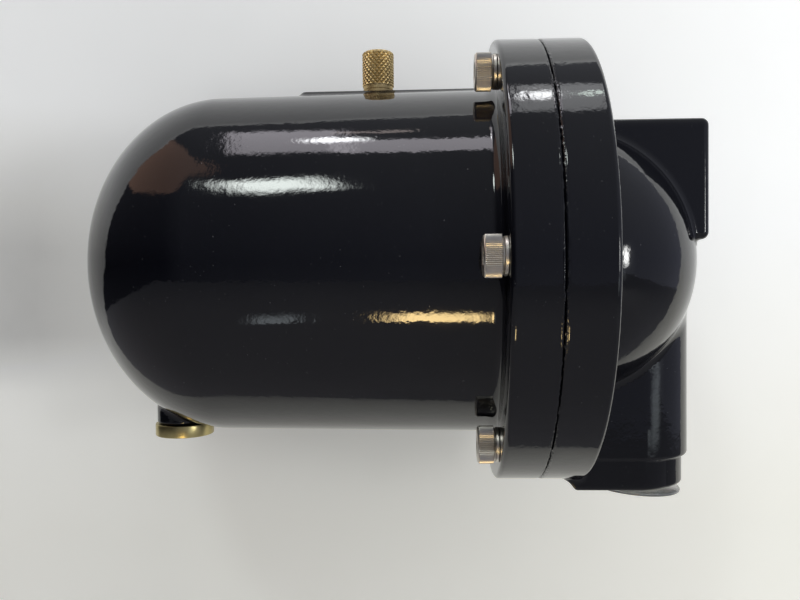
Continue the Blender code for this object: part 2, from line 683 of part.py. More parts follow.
# ---------------------------------------------------------------- drain
def build_drain(frame):
    # The plug's origin is on the boss's end; its head is below and its thread above.
    head = DRAIN_HEAD_RADIUS
    edge = DRAIN_HEAD_EDGE
    bottom = -GAP - DRAIN_HEAD_HEIGHT
    recess = -GAP - DRAIN_SEAL_HEIGHT - GAP
    seal_inner = DRAIN_THREAD_RADIUS + GAP
    seal_outer = seal_inner + DRAIN_SEAL_WIDTH
    recess_out = seal_outer + GAP
    tip = DRAIN_THREAD_LENGTH
    chamfer = DRAIN_THREAD_CHAMFER
    profile = [(bottom, 0.0), (bottom, head - edge), (bottom + edge, head),
               (-GAP - edge, head), (-GAP, head - edge), (-GAP, recess_out),
               (recess, recess_out), (recess, DRAIN_THREAD_RADIUS),
               (tip - chamfer, DRAIN_THREAD_RADIUS), (tip, DRAIN_THREAD_RADIUS - chamfer),
               (tip, 0.0)]
    place = (DRAIN_X, 0, -DRAIN_BOSS_DROP)
    plug = piece("drain_plug", turned(profile, BOSS_SEGMENTS, axis="Z"), BRASS, frame,
                 place)
    socket = prism(hexagon(DRAIN_SOCKET_WIDTH), bottom - CUT_OVERRUN,
                   bottom + DRAIN_SOCKET_DEPTH)
    boolean(plug, moved(socket, place), "DIFFERENCE", "drain_hex_socket")
    seal = pipe(-GAP - DRAIN_SEAL_HEIGHT, -GAP, seal_outer, seal_inner, PORT_SEGMENTS, "Z")
    piece("drain_seal", seal, RUBBER, frame, place)


# ---------------------------------------------------------------- port plugs
def port_plug():
    """A plastic plug facing +X, its flange's seat at 0; the spigot behind it is a cup."""
    spigot = PORT_RADIUS - GAP
    face = PLUG_FLANGE_THICKNESS
    floor = face - PLUG_WALL
    end = -PLUG_SPIGOT_LENGTH
    profile = [(face, 0.0), (face, PLUG_FLANGE_RADIUS - PLUG_EDGE),
               (face - PLUG_EDGE, PLUG_FLANGE_RADIUS), (0.0, PLUG_FLANGE_RADIUS),
               (0.0, spigot), (end + PLUG_EDGE, spigot), (end, spigot - PLUG_EDGE),
               (end, spigot - PLUG_WALL), (floor, spigot - PLUG_WALL), (floor, 0.0)]
    return turned(profile, PORT_SEGMENTS)


def build_port_plugs(frame):
    inlet_seat = BLOCK_FACE - SPOTFACE_DEPTH + GAP
    piece("inlet_plug", port_plug(), POLYTHENE, frame, (inlet_seat, 0, INLET_HEIGHT))
    down = Matrix.Rotation(math.pi / 2, 3, "Y")
    piece("outlet_plug", port_plug(), POLYTHENE, frame,
          (OUTLET_SETBACK, 0, -OUTLET_DROP - GAP), down)


# ---------------------------------------------------------------- magnet cartridge
def build_flow_tube(frame):
    end = TUBE_SOCKET_DEPTH
    inner = TUBE_RADIUS - TUBE_WALL
    collar = TUBE_COLLAR_RADIUS
    groove_middle = end / 2
    groove_low = groove_middle - TUBE_SEAL_WIDTH / 2
    groove_high = groove_middle + TUBE_SEAL_WIDTH / 2
    groove_floor = collar - TUBE_SEAL_DEPTH
    shoulder = end - TUBE_COLLAR_LENGTH
    profile = [(-TUBE_LENGTH, inner), (-TUBE_LENGTH, TUBE_RADIUS), (shoulder, TUBE_RADIUS),
               (shoulder, collar), (groove_low, collar), (groove_low, groove_floor),
               (groove_high, groove_floor), (groove_high, collar), (end, collar),
               (end, inner)]
    piece("flow_tube", turned(profile, TUBE_SEGMENTS, closed=True), STAINLESS, frame)
    ring = squeezed_ring((groove_floor + GAP + collar) / 2, groove_low + GAP,
                         groove_high - GAP, TUBE_SEAL_DEPTH - GAP, TUBE_SEGMENTS)
    piece("tube_o_ring", ring, RUBBER, frame)


def spider(hole):
    """A hub with arms that reach the tube's wall, from 0 towards -X."""
    hub = hole + SPIDER_HUB_WALL
    reach = TUBE_RADIUS - TUBE_WALL - GAP
    half = SPIDER_ARM_WIDTH / 2
    tip = math.asin(half / reach)
    root = math.asin(half / hub)
    outline = []
    for arm in range(SPIDER_ARMS):
        middle = 2 * math.pi * arm / SPIDER_ARMS + math.pi / 2
        following = middle + 2 * math.pi / SPIDER_ARMS
        for radius, angle in ((hub, middle - root), (reach, middle - tip), (reach, middle),
                              (reach, middle + tip), (hub, middle + root)):
            outline.append((radius * math.cos(angle), radius * math.sin(angle)))
        first = middle + root
        last = following - root
        for step in range(1, SPIDER_HUB_STEPS):
            angle = first + (last - first) * step / SPIDER_HUB_STEPS
            outline.append((hub * math.cos(angle), hub * math.sin(angle)))
    shape = prism(outline, 0.0, SPIDER_THICKNESS)
    bmesh.ops.rotate(shape, verts=shape.verts, matrix=Matrix.Rotation(-math.pi / 2, 3, "Y"))
    return shape


def build_spider(frame, name, along, hole):
    made = piece(name, spider(hole), STAINLESS, frame, (along, 0, 0))
    bore = cylinder(along - SPIDER_THICKNESS - CUT_OVERRUN, along + CUT_OVERRUN, hole,
                    SMALL_SEGMENTS)
    boolean(made, bore, "DIFFERENCE", f"{name}_bore")


def build_magnet_rod(frame):
    """The rod hangs on the front spider and runs through the rear one, towards -X."""
    cap_face = -FRONT_SPIDER_INSET - SPIDER_THICKNESS - GAP
    inside = SHEATH_RADIUS - SHEATH_WALL - GAP
    sheath_end = cap_face - SHEATH_CAP_LENGTH - GAP
    stack = sheath_end - SHEATH_CAP_PLUG - STACK_PLAY - GAP

    # Front cap with the stud that the spider and the nut sit on.
    nut_seat = -FRONT_SPIDER_INSET + GAP + NUT_WASHER_THICKNESS + GAP
    stud_end = nut_seat + NUT_HEIGHT + STUD_TIP
    plug_end = sheath_end - SHEATH_CAP_PLUG
    profile = [(stud_end, 0.0), (stud_end, STUD_RADIUS - SCREW_POINT),
               (stud_end - SCREW_POINT, STUD_RADIUS), (cap_face, STUD_RADIUS),
               (cap_face, SHEATH_RADIUS), (sheath_end + GAP, SHEATH_RADIUS),
               (sheath_end + GAP, inside), (plug_end, inside), (plug_end, 0.0)]
    piece("sheath_stud_cap", turned(profile, ROD_SEGMENTS), STAINLESS, frame)

    along = stack
    for index in range(2 * MAGNET_COUNT + 1):
        is_pole = index % 2 == 0
        length = POLE_LENGTH if is_pole else MAGNET_LENGTH
        label = f"pole_piece_{index // 2 + 1}" if is_pole else f"magnet_{index // 2 + 1}"
        finish = POLE_STEEL if is_pole else MAGNET
        piece(label, cylinder(-length, 0.0, inside, ROD_SEGMENTS), finish, frame,
              (along, 0, 0))
        along -= length + STACK_PLAY

    far_plug = along
    far_end = far_plug - SHEATH_CAP_PLUG
    sheath = pipe(far_end, sheath_end, SHEATH_RADIUS, SHEATH_RADIUS - SHEATH_WALL,
                  ROD_SEGMENTS)
    piece("magnet_sheath", sheath, STAINLESS, frame)
    # The far cap has a plug inside the sheath and a rounded nose outside it.
    nose = far_end - GAP
    round_off = SHEATH_CAP_LENGTH / 2
    profile = [(far_plug, 0.0), (far_plug, inside), (nose, inside), (nose, SHEATH_RADIUS)]
    profile += arc((nose - SHEATH_CAP_LENGTH + round_off, SHEATH_RADIUS - round_off),
                   round_off, 90, 180, FILLET_STEPS)
    profile.append((nose - SHEATH_CAP_LENGTH, 0.0))
    piece("sheath_end_cap", turned(profile, ROD_SEGMENTS), STAINLESS, frame)

    build_spider(frame, "front_spider", -FRONT_SPIDER_INSET, STUD_RADIUS + GAP)
    rear = -TUBE_LENGTH + REAR_SPIDER_INSET
    build_spider(frame, "rear_spider", rear, SHEATH_RADIUS + GAP)

    washer_face = -FRONT_SPIDER_INSET + GAP
    washer = pipe(washer_face, washer_face + NUT_WASHER_THICKNESS, NUT_WASHER_RADIUS,
                  STUD_RADIUS + GAP, SMALL_SEGMENTS)
    piece("rod_washer", washer, STAINLESS, frame)
    nut = prism(hexagon(NUT_WIDTH), 0.0, NUT_HEIGHT)
    bmesh.ops.rotate(nut, verts=nut.verts, matrix=Matrix.Rotation(math.pi / 2, 3, "Y"))
    made = piece("rod_nut", nut, STAINLESS, frame, (nut_seat, 0, 0))
    bore = cylinder(nut_seat - CUT_OVERRUN, nut_seat + NUT_HEIGHT + CUT_OVERRUN,
                    STUD_RADIUS + GAP, SMALL_SEGMENTS)
    boolean(made, bore, "DIFFERENCE", "rod_nut_bore")


# ---------------------------------------------------------------- assembly
def main():
    clear_scene()
    frame = vessel_frame()
    build_bowl(frame)
    build_head(frame)
    build_flange_seal(frame)
    build_screws(frame)
    build_vent(frame)
    build_drain(frame)
    build_port_plugs(frame)
    build_flow_tube(frame)
    build_magnet_rod(frame)
    bpy.context.view_layer.update()


main()
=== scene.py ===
"""Looks of the magnetic system filter: castings, turned parts, finishes, stage and light.

Shapes are worked out in millimetres in the vessel's own frame, whose origin is on the
vessel's axis at the joint between bowl and head, with +X towards the head and +Z up.
"""
import math

import bmesh
import bpy
import numpy as np
from mathutils import Matrix, Vector


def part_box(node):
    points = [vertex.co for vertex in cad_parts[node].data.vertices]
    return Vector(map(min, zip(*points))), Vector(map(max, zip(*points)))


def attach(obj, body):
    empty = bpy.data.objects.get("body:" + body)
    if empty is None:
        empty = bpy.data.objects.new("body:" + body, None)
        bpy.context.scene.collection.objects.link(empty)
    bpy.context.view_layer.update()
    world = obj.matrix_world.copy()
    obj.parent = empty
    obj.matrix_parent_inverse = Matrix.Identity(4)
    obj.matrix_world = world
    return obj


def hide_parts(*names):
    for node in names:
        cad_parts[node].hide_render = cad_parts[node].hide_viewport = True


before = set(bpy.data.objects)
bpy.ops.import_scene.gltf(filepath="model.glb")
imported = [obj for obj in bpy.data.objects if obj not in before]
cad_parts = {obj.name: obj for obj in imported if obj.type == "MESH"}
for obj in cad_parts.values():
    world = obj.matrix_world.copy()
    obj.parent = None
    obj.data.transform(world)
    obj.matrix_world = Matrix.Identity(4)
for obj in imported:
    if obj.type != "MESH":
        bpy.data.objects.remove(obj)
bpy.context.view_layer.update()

MM = 0.001
CREASE = 35.0            # degrees; a sharper edge than this isn't smoothed
bowl_low, bowl_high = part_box("bowl")
JOINT = np.array((bowl_high.x, 0.0, (bowl_low.z + bowl_high.z) / 2))


def span(label, axis):
    """Least and greatest coordinate of a CAD node along an axis, in vessel millimetres."""
    ends = [(corner[axis] - JOINT[axis]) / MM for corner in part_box(label)]
    return ends[0], ends[1]


def middle(label):
    """Middle of a CAD node along X, in vessel millimetres."""
    return sum(span(label, 0)) / 2


# ---------------------------------------------------------------- meshes
def add_mesh(name, verts, faces, normals=None, angle=CREASE):
    """A mesh object from vessel millimetres; faces is a list of index arrays."""
    mesh = bpy.data.meshes.new(name)
    verts = np.asarray(verts, float) * MM + JOINT
    loops = np.concatenate([f.ravel() for f in faces]).astype(np.int32)
    totals = np.concatenate([np.full(len(f), f.shape[1]) for f in faces]).astype(np.int32)
    starts = np.concatenate(([0], np.cumsum(totals)[:-1])).astype(np.int32)
    mesh.vertices.add(len(verts))
    mesh.vertices.foreach_set("co", verts.astype(np.float32).ravel())
    mesh.loops.add(len(loops))
    mesh.loops.foreach_set("vertex_index", loops)
    mesh.polygons.add(len(totals))
    mesh.polygons.foreach_set("loop_start", starts)
    mesh.polygons.foreach_set("loop_total", totals)
    mesh.update(calc_edges=True)
    mesh.validate()
    mesh.shade_smooth()
    if normals is not None:
        mesh.normals_split_custom_set_from_vertices(normals.tolist())
    else:
        mesh.set_sharp_from_angle(angle=math.radians(angle))
    made = bpy.data.objects.new(name, mesh)
    bpy.context.scene.collection.objects.link(made)
    return made


def fit(made, body, finish, stands_for):
    """Give a piece its finish, its body and the CAD nodes that it stands for."""
    made.data.materials.clear()
    made.data.materials.append(finish)
    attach(made, body)
    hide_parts(*stands_for)


# ---------------------------------------------------------------- solids from fields
# A field is below zero inside its solid. Where two fields meet, r is the edge's radius.
def fillet(a, b, r):
    """Union of two fields with a fillet of radius r where they meet."""
    return np.maximum(r, np.minimum(a, b)) - np.hypot(np.maximum(r - a, 0), np.maximum(r - b, 0))


def trim(a, b, r):
    """What two fields share, with the edge between them rounded to radius r."""
    return -fillet(-a, -b, r)


def cut(a, b, r):
    """The first field without the second, with the edge rounded to radius r."""
    return trim(a, -b, r)


def grid_lines(low, high, step, fine):
    """Grid lines `step` apart, and closer inside each (start, end, step) of fine."""
    lines = [low]
    while lines[-1] < high:
        at = lines[-1]
        here = min([step] + [f[2] for f in fine if f[0] - step < at < f[1]])
        lines.append(at + here)
    return np.array(lines)


CELL_EDGES = [(a, a | bit) for bit in (1, 2, 4) for a in range(8) if not a & bit]
NET_PASSES = 4           # times that the vertices move onto the surface
FLATTEST = 0.05          # least squared slope that a move is divided by
LONGEST_MOVE = 0.4       # share of the widest cell that a vertex moves in one pass
REACH = 0.02             # millimetres to each side between which a slope is measured


def surface_net(field, xs, ys, zs):
    """Quads round the zero surface of a field, with vertices moved onto it: one for
    each of the grid's cells that the surface passes through."""
    value = field(xs[:, None, None], ys[None, :, None], zs[None, None, :]).astype(np.float32)
    value = np.broadcast_to(value, (len(xs), len(ys), len(zs)))
    inside = value < 0
    cells = tuple(n - 1 for n in inside.shape)
    count = np.zeros(cells, np.int8)
    for corner in range(8):
        count += inside[corner_of_cells(corner, cells)]
    at = np.argwhere((count > 0) & (count < 8))
    index = np.full(cells, -1, np.int32)
    index[tuple(at.T)] = np.arange(len(at))
    quads = np.concatenate([quads_across(inside, index, axis) for axis in range(3)])
    lines = (xs, ys, zs)
    longest = LONGEST_MOVE * max(np.diff(line).max() for line in lines)
    verts = onto_surface(field, mean_crossings(value, at, lines), longest)
    slope = gradient(field, verts)
    slope /= np.maximum(np.linalg.norm(slope, axis=1), 1e-9)[:, None]
    return verts, quads, slope


def corner_of_cells(corner, cells):
    """Slices of the grid's points that give one corner of every cell."""
    return tuple(slice(corner >> k & 1, (corner >> k & 1) + cells[k]) for k in range(3))


def mean_crossings(value, at, lines):
    """For each cell, the mean of the spots where the surface crosses its edges."""
    spots, found = [], []
    for corner in range(8):
        spot = at + np.array((corner & 1, corner >> 1 & 1, corner >> 2 & 1))
        spots.append(np.stack([lines[k][spot[:, k]] for k in range(3)], 1))
        found.append(value[tuple(spot.T)].astype(float))
    total = np.zeros((len(at), 3))
    hits = np.zeros(len(at))
    for a, b in CELL_EDGES:
        crossed = (found[a] < 0) != (found[b] < 0)
        share = found[a] / np.where(crossed, found[a] - found[b], 1.0)
        total += np.where(crossed[:, None], spots[a] + (spots[b] - spots[a]) * share[:, None], 0)
        hits += crossed
    return total / hits[:, None]


def quads_across(inside, index, axis):
    """A quad for each crossed grid edge along an axis, from the four cells round it."""
    b, c = (axis + 1) % 3, (axis + 2) % 3
    lower = [slice(1, -1)] * 3
    upper = [slice(1, -1)] * 3
    lower[axis] = slice(0, -1)
    upper[axis] = slice(1, None)
    first, second = inside[tuple(lower)], inside[tuple(upper)]
    base = np.argwhere(first != second)
    leaves = first[tuple(base.T)]
    base[:, b] += 1
    base[:, c] += 1
    ring = []
    for db, dc in ((-1, -1), (0, -1), (0, 0), (-1, 0)):
        cell = base.copy()
        cell[:, b] += db
        cell[:, c] += dc
        ring.append(index[tuple(cell.T)])
    quad = np.stack(ring, 1)
    quad[~leaves] = quad[~leaves][:, ::-1]
    return quad


def onto_surface(field, verts, longest):
    """Move vertices along the field's slope until they lie on its zero surface."""
    for _ in range(NET_PASSES):
        slope = gradient(field, verts)
        here = field(verts[:, 0], verts[:, 1], verts[:, 2])
        step = here[:, None] * slope / np.maximum((slope ** 2).sum(1), FLATTEST)[:, None]
        length = np.linalg.norm(step, axis=1)
        step *= np.minimum(1, longest / np.maximum(length, 1e-9))[:, None]
        verts = verts - step
    return verts


def gradient(field, points):
    """Slope of a field at points, from its values a little to each side."""
    slope = np.empty_like(points)
    for k in range(3):
        step = np.zeros(3)
        step[k] = REACH
        ahead, behind = points + step, points - step
        slope[:, k] = (field(ahead[:, 0], ahead[:, 1], ahead[:, 2])
                       - field(behind[:, 0], behind[:, 1], behind[:, 2])) / (2 * REACH)
    return slope


# ---------------------------------------------------------------- bowl and head
GAP = 0.3                # left between pieces that touch
FLANGE = 80.0            # radius of both flanges
FLANGE_THICK = 15.0
SEAM_FLOOR = FLANGE - 0.55
LIP = 1.15               # radius of the flanges' rounded lips at the seam
LIP_UNEVEN = 0.2
SCREWS = 6
SCREW_CIRCLE = 71.5


def lip(y, z, phase):
    """Radius of a seam's lip round the flange: hand-dressed, so a little uneven."""
    a = np.arctan2(z, y)
    ripple = 0.35 * np.sin(7 * a + phase) + 0.3 * np.sin(17 * a + 2 * phase)
    ripple = ripple + 0.25 * np.sin(41 * a + 3 * phase) + 0.2 * np.sin(83 * a + phase)
    return LIP + LIP_UNEVEN * ripple


def screw_offset(y, z):
    """Distance from the axis of the nearest flange screw."""
    rho = np.hypot(y, z)
    pitch = 360 / SCREWS
    turn = np.degrees(np.arctan2(y, z)) + 90
    turn = np.radians(np.mod(turn + pitch / 2, pitch) - pitch / 2)
    return np.hypot(rho * np.cos(turn) - SCREW_CIRCLE, rho * np.sin(turn))


TAPER_LENGTH = 98.0      # of the barrel, from the flange to the dome
CONE_OVERRUN = 0.63      # of the cone past the dome's centre, to where their slopes agree


def barrel(x, rho, neck, toe, centre, depth, dome_radius):
    """A tapering barrel that ends in a half ellipsoid towards -X."""
    draft = (neck - toe) / TAPER_LENGTH
    cone = (rho - (neck + draft * (x + FLANGE_THICK))) / math.hypot(1, draft)
    along = x - centre
    unit = np.hypot(along / depth, rho / dome_radius)
    steep = np.hypot(along / depth ** 2, rho / dome_radius ** 2)
    dome = unit * (unit - 1) / np.maximum(steep, 1e-6)
    return np.where(x > centre - CONE_OVERRUN, cone, dome)


VENT_X = middle("vent_cap")
VENT_SEAT = span("vent_seal", 2)[0]
VENT_BORE = 4.3
PAD_TOP = VENT_SEAT - 1.6
PAD_FOOT = 50.0          # inside the barrel's wall
PAD_WIDTH = 13.2
PAD_START, PAD_END = -83.4, -8.0
DRAIN_X = middle("drain_plug")
DRAIN_DROP = -span("drain_seal", 2)[1] - GAP
DRAIN_BOSS, DRAIN_BORE = 10.1, 6.9
BOWL_SCREW_HOLE = 4.5
INNER = 30.0             # the bowl's boss and bores start this far from the axis


def vent_pad(x, y, z):
    """The long flat pad under the vent, without its top."""
    sides = trim(np.abs(y) - PAD_WIDTH / 2, PAD_START - x, 0.4)
    return np.maximum(np.maximum(sides, PAD_FOOT - z), x - PAD_END)


def bowl_field(x, y, z):
    rho = np.hypot(y, z)
    flange = trim(rho - FLANGE, -(FLANGE_THICK + 0.2) - x, 1.5)
    flange = trim(flange, x, lip(y, z, 0.4))
    flange = np.minimum(flange, np.maximum(rho - SEAM_FLOOR, np.abs(x + 7) - 7))
    outside = barrel(x, rho, neck=63.0, toe=61.9, centre=-112.37, depth=50.75, dome_radius=61.9)
    body = fillet(flange, np.maximum(outside, x + 1), 3.5)
    padded = fillet(body, vent_pad(x, y, z), 5.0)
    body = np.minimum(body, trim(padded, z - PAD_TOP, 0.4))
    from_drain = np.hypot(x - DRAIN_X, y)
    boss = trim(from_drain - DRAIN_BOSS, -DRAIN_DROP - z, 0.7)
    body = fillet(body, np.maximum(boss, z + INNER), 2.5)
    hollow = barrel(x, rho, neck=58.5, toe=57.0, centre=-113.0, depth=46.0, dome_radius=57.0)
    body = cut(body, hollow, 0.8)
    body = cut(body, np.maximum(np.hypot(x - VENT_X, y) - VENT_BORE, INNER - z), 0.4)
    body = cut(body, np.maximum(from_drain - DRAIN_BORE, z + INNER), 0.5)
    return cut(body, screw_offset(y, z) - BOWL_SCREW_HOLE, 0.4)


def whitworth(along, turn, pitch, crest, depth):
    """Radius of a rounded thread at a place along its axis and an angle round it."""
    return crest + depth * (0.5 + 0.5 * np.cos(2 * math.pi * along / pitch - turn))


DOME_RADIUS = 51.4       # of the head
DOME_X = 8.2
DOME_START, BLOCK_START = 1.5, 8.0
BLOCK_X = 59.0           # end of the inlet block
BLOCK_WIDTH, BLOCK_HEIGHT = 48.0, 42.0
INLET_Z = 27.5
INLET_FLOOR = 41.3       # where the inlet's thread ends
INLET_SEAT = 58.3        # spot face for the plug
OUTLET_X = 37.8
OUTLET_Z = -82.0
OUTLET_FLOOR = -64.0
BOSS_RADIUS = 19.8       # of the outlet
BOSS_START = 8.5
BOSS_TOP, BOSS_BOTTOM = -10.0, -71.6
COLLAR_RADIUS = 17.9
COLLAR_SPREAD = 1.9      # more towards the flange, over the run from the start
SPREAD_START, SPREAD_RUN = 46.0, 8.0
COLLAR_START, COLLAR_TOP = 9.5, -60.0
CHAMFER_Z = -77.0        # where the chamfer meets the collar's start
CHAMFER_TALL, CHAMFER_LONG = 5.0, 4.0
PIPE_PITCH = 1.814
PIPE_CREST = 12.1        # radius of a port's thread at its crests
PIPE_THREAD = 1.1        # the thread's depth
PORT_MOUTH = 13.6        # radius of a port's countersink
CONE = 0.7               # distance to its 45-degree cone, as a share of that sideways
PASSAGE = 9.5            # radius of the passages inside the head
PASSAGE_RUN, PASSAGE_RISE = 41.0, 10.5
PASSAGE_OVERLAP = 6.0    # with the inlet's port
TUBE_SOCKET, TUBE_SOCKET_DEPTH = 22.0, 8.3
CHAMBER, CHAMBER_DEPTH = 16.0, 34.0
TAPPED_HOLE, TAPPED_DEPTH = 4.3, 11.3
SEAL_RADIUS, SEAL_HALF_WIDTH, SEAL_DEPTH = 62.7, 2.1, 3.3


def outlet_boss(x, y, z):
    """The boss under the head, with the narrower collar below it."""
    away = np.where(x > OUTLET_X, np.hypot(x - OUTLET_X, y), np.abs(y) + 0 * x)
    boss = trim(trim(away - BOSS_RADIUS, BOSS_START - x, 0.6), BOSS_BOTTOM - z, 1.5)
    waist = COLLAR_RADIUS + COLLAR_SPREAD * np.clip((SPREAD_START - x) / SPREAD_RUN, 0, 1)
    collar = trim(trim(away - waist, COLLAR_START - x, 0.6), OUTLET_Z - z, 1.2)
    chamfer = (COLLAR_START - x) * CHAMFER_TALL + (CHAMFER_Z - z) * CHAMFER_LONG
    chamfer = chamfer / math.hypot(CHAMFER_TALL, CHAMFER_LONG)
    collar = np.maximum(trim(collar, chamfer, 0.5), z - COLLAR_TOP)
    return fillet(np.maximum(boss, z - BOSS_TOP), collar, 0.5)


def threaded_port(rho, turn, along, floor, outwards):
    """A threaded bore with a countersunk mouth, from which `outwards` counts."""
    thread = whitworth(along, turn, PIPE_PITCH, PIPE_CREST, PIPE_THREAD)
    return np.minimum(np.maximum(rho - thread, floor), (rho - (PORT_MOUTH + outwards)) * CONE)


def outlet_bore(x, y, z):
    """The outlet's port, with the passage above it."""
    rho = np.hypot(x - OUTLET_X, y)
    turn = np.arctan2(y, x - OUTLET_X)
    port = threaded_port(rho, turn, z, z - OUTLET_FLOOR, OUTLET_Z - z)
    return np.minimum(port, np.maximum(rho - PASSAGE, z))


def inlet_bore(x, y, z):
    """The inlet's port, with the spot face that the plug's flange sits in."""
    rho = np.hypot(y, z - INLET_Z)
    turn = np.arctan2(z - INLET_Z, y)
    port = threaded_port(rho, turn, x, INLET_FLOOR - x, x - INLET_SEAT)
    return np.minimum(port, np.maximum(rho - COLLAR_RADIUS, INLET_SEAT - x))


def inlet_passage(x, y, z):
    """The sloping passage from the inlet's port to the bowl."""
    length = math.hypot(PASSAGE_RUN, PASSAGE_RISE)
    ux, uz = -PASSAGE_RUN / length, PASSAGE_RISE / length
    along = (x - INLET_FLOOR) * ux + (z - INLET_Z) * uz
    side = np.hypot(y, (x - INLET_FLOOR) * uz - (z - INLET_Z) * ux) - PASSAGE
    return np.maximum(side, -PASSAGE_OVERLAP - along)


def head_field(x, y, z):
    rho = np.hypot(y, z)
    flange = trim(rho - FLANGE, x - (FLANGE_THICK + 0.55), 1.6)
    flange = trim(flange, 0.06 - x, lip(y, z, 2.1))
    flange = np.minimum(flange, np.maximum(rho - SEAM_FLOOR, np.abs(x - 7) - 6.94))
    dome = np.sqrt((x - DOME_X) ** 2 + rho ** 2) - DOME_RADIUS
    body = fillet(flange, np.maximum(dome, DOME_START - x), 4.0)
    block = trim(np.abs(y) - BLOCK_WIDTH / 2, np.abs(z - INLET_Z) - BLOCK_HEIGHT / 2, 2.6)
    block = trim(block, x - BLOCK_X, 2.6)
    body = fillet(body, np.maximum(block, BLOCK_START - x), 1.8)
    body = fillet(body, outlet_boss(x, y, z), 2.0)
    body = cut(body, np.maximum(rho - TUBE_SOCKET, x - TUBE_SOCKET_DEPTH), 0.5)
    body = cut(body, trim(rho - CHAMBER, x - CHAMBER_DEPTH, 3.5), 0.5)
    body = cut(body, outlet_bore(x, y, z), 0.3)
    body = cut(body, inlet_bore(x, y, z), 0.3)
    body = cut(body, inlet_passage(x, y, z), 0.5)
    tapped = np.maximum(screw_offset(y, z) - TAPPED_HOLE, x - TAPPED_DEPTH)
    body = cut(body, tapped, 0.4)
    groove = np.maximum(np.abs(rho - SEAL_RADIUS) - SEAL_HALF_WIDTH, x - SEAL_DEPTH)
    return cut(body, groove, 0.3)


# ---------------------------------------------------------------- turned pieces
AXES = {
    "+x": np.array(((1, 0, 0), (0, 1, 0), (0, 0, 1.0))),
    "+z": np.array(((0, 0, 1), (1, 0, 0), (0, 1, 0.0))),
    "-z": np.array(((0, 0, -1), (0, 1, 0), (1, 0, 0.0))),
}


def angles(count):
    """Equal steps round a circle."""
    return 2 * math.pi * np.arange(count) / count


def lathe(rows, count, closed=False):
    """Skin (along, radius) rows turned about X.  A radius may be an array with a value
    for each of the `count` angles, and so may an along; a radius of 0 closes a row."""
    turn = angles(count)
    verts, rings = [], []
    total = 0
    for along, radius in rows:
        if np.ndim(radius) == 0 and abs(radius) < 1e-6:
            verts.append(np.array([[float(np.mean(along)), 0.0, 0.0]]))
            rings.append(np.array([total]))
            total += 1
            continue
        ring = np.zeros((count, 3))
        ring[:, 0] = along
        ring[:, 1] = radius * np.cos(turn)
        ring[:, 2] = radius * np.sin(turn)
        verts.append(ring)
        rings.append(np.arange(total, total + count))
        total += count
    quads, tris = [], []
    pairs = list(zip(rings, rings[1:])) + ([(rings[-1], rings[0])] if closed else [])
    for a, b in pairs:
        if len(a) == 1 and len(b) == 1:
            continue
        if len(a) == 1:
            tris.append(np.stack([np.full(count, a[0]), np.roll(b, -1), b], 1))
        elif len(b) == 1:
            tris.append(np.stack([a, np.roll(a, -1), np.full(count, b[0])], 1))
        else:
            quads.append(np.stack([a, np.roll(a, -1), np.roll(b, -1), b], 1))
    verts = np.concatenate(verts)
    faces = [np.concatenate(part) for part in (quads, tris) if part]
    volume = 0.0
    for f in faces:
        p = verts[f]
        for k in range(1, f.shape[1] - 1):
            volume += np.einsum("ij,ij->i", p[:, 0], np.cross(p[:, k], p[:, k + 1])).sum()
    if volume < 0:
        faces = [f[:, ::-1] for f in faces]
    return verts, faces


def turned(name, rows, count, place, axis, closed=False, angle=CREASE, turn=0.0):
    """A turned piece: its rows skinned, spun by `turn`, laid along an axis and placed."""
    verts, faces = lathe(rows, count, closed)
    c, s = math.cos(turn), math.sin(turn)
    spun = verts @ np.array(((1, 0, 0), (0, c, s), (0, -s, c)))
    return add_mesh(name, spun @ AXES[axis] + np.array(place), faces, angle=angle)


def hex_radius(across, count, corner=0.25):
    """Radius of a hexagon at each angle, its corners slightly rounded."""
    turn = np.mod(angles(count), math.pi / 3) - math.pi / 6
    flat = across / 2 / np.cos(turn)
    return np.minimum(flat, across / math.sqrt(3) - corner)


def wave(turn, teeth):
    """A triangle wave from 0 to 1 round the circle."""
    return np.abs(2 * np.mod(turn * teeth / (2 * math.pi), 1) - 1)


def thread_rows(start, end, pitch, major, minor, count, per_pitch):
    """Rows of a V thread from start to end, run out smoothly at both ends."""
    turn = angles(count)
    steps = max(2, int(abs(end - start) / pitch * per_pitch))
    rows = []
    for step in range(steps + 1):
        share = step / steps
        along = start + (end - start) * share
        phase = np.mod(along / pitch - turn / (2 * math.pi), 1)
        ridge = np.clip(1.25 * np.abs(2 * phase - 1) - 0.1, 0, 1)
        ends = min(1, 4 * share * steps / per_pitch, 4 * (1 - share) * steps / per_pitch)
        rows.append((along, minor + (major - minor) * ridge * min(1, ends)))
    return rows


SCREW_SEAT = -16.7       # underside of the heads
SCREW_PITCH = 1.25
SCREW_CREST, SCREW_ROOT = 3.98, 3.4
HEAD_KEY = 6.0           # across the flats of the hexagon sockets


def screw_angle(index):
    return 2 * math.pi * index / SCREWS - math.pi / 2


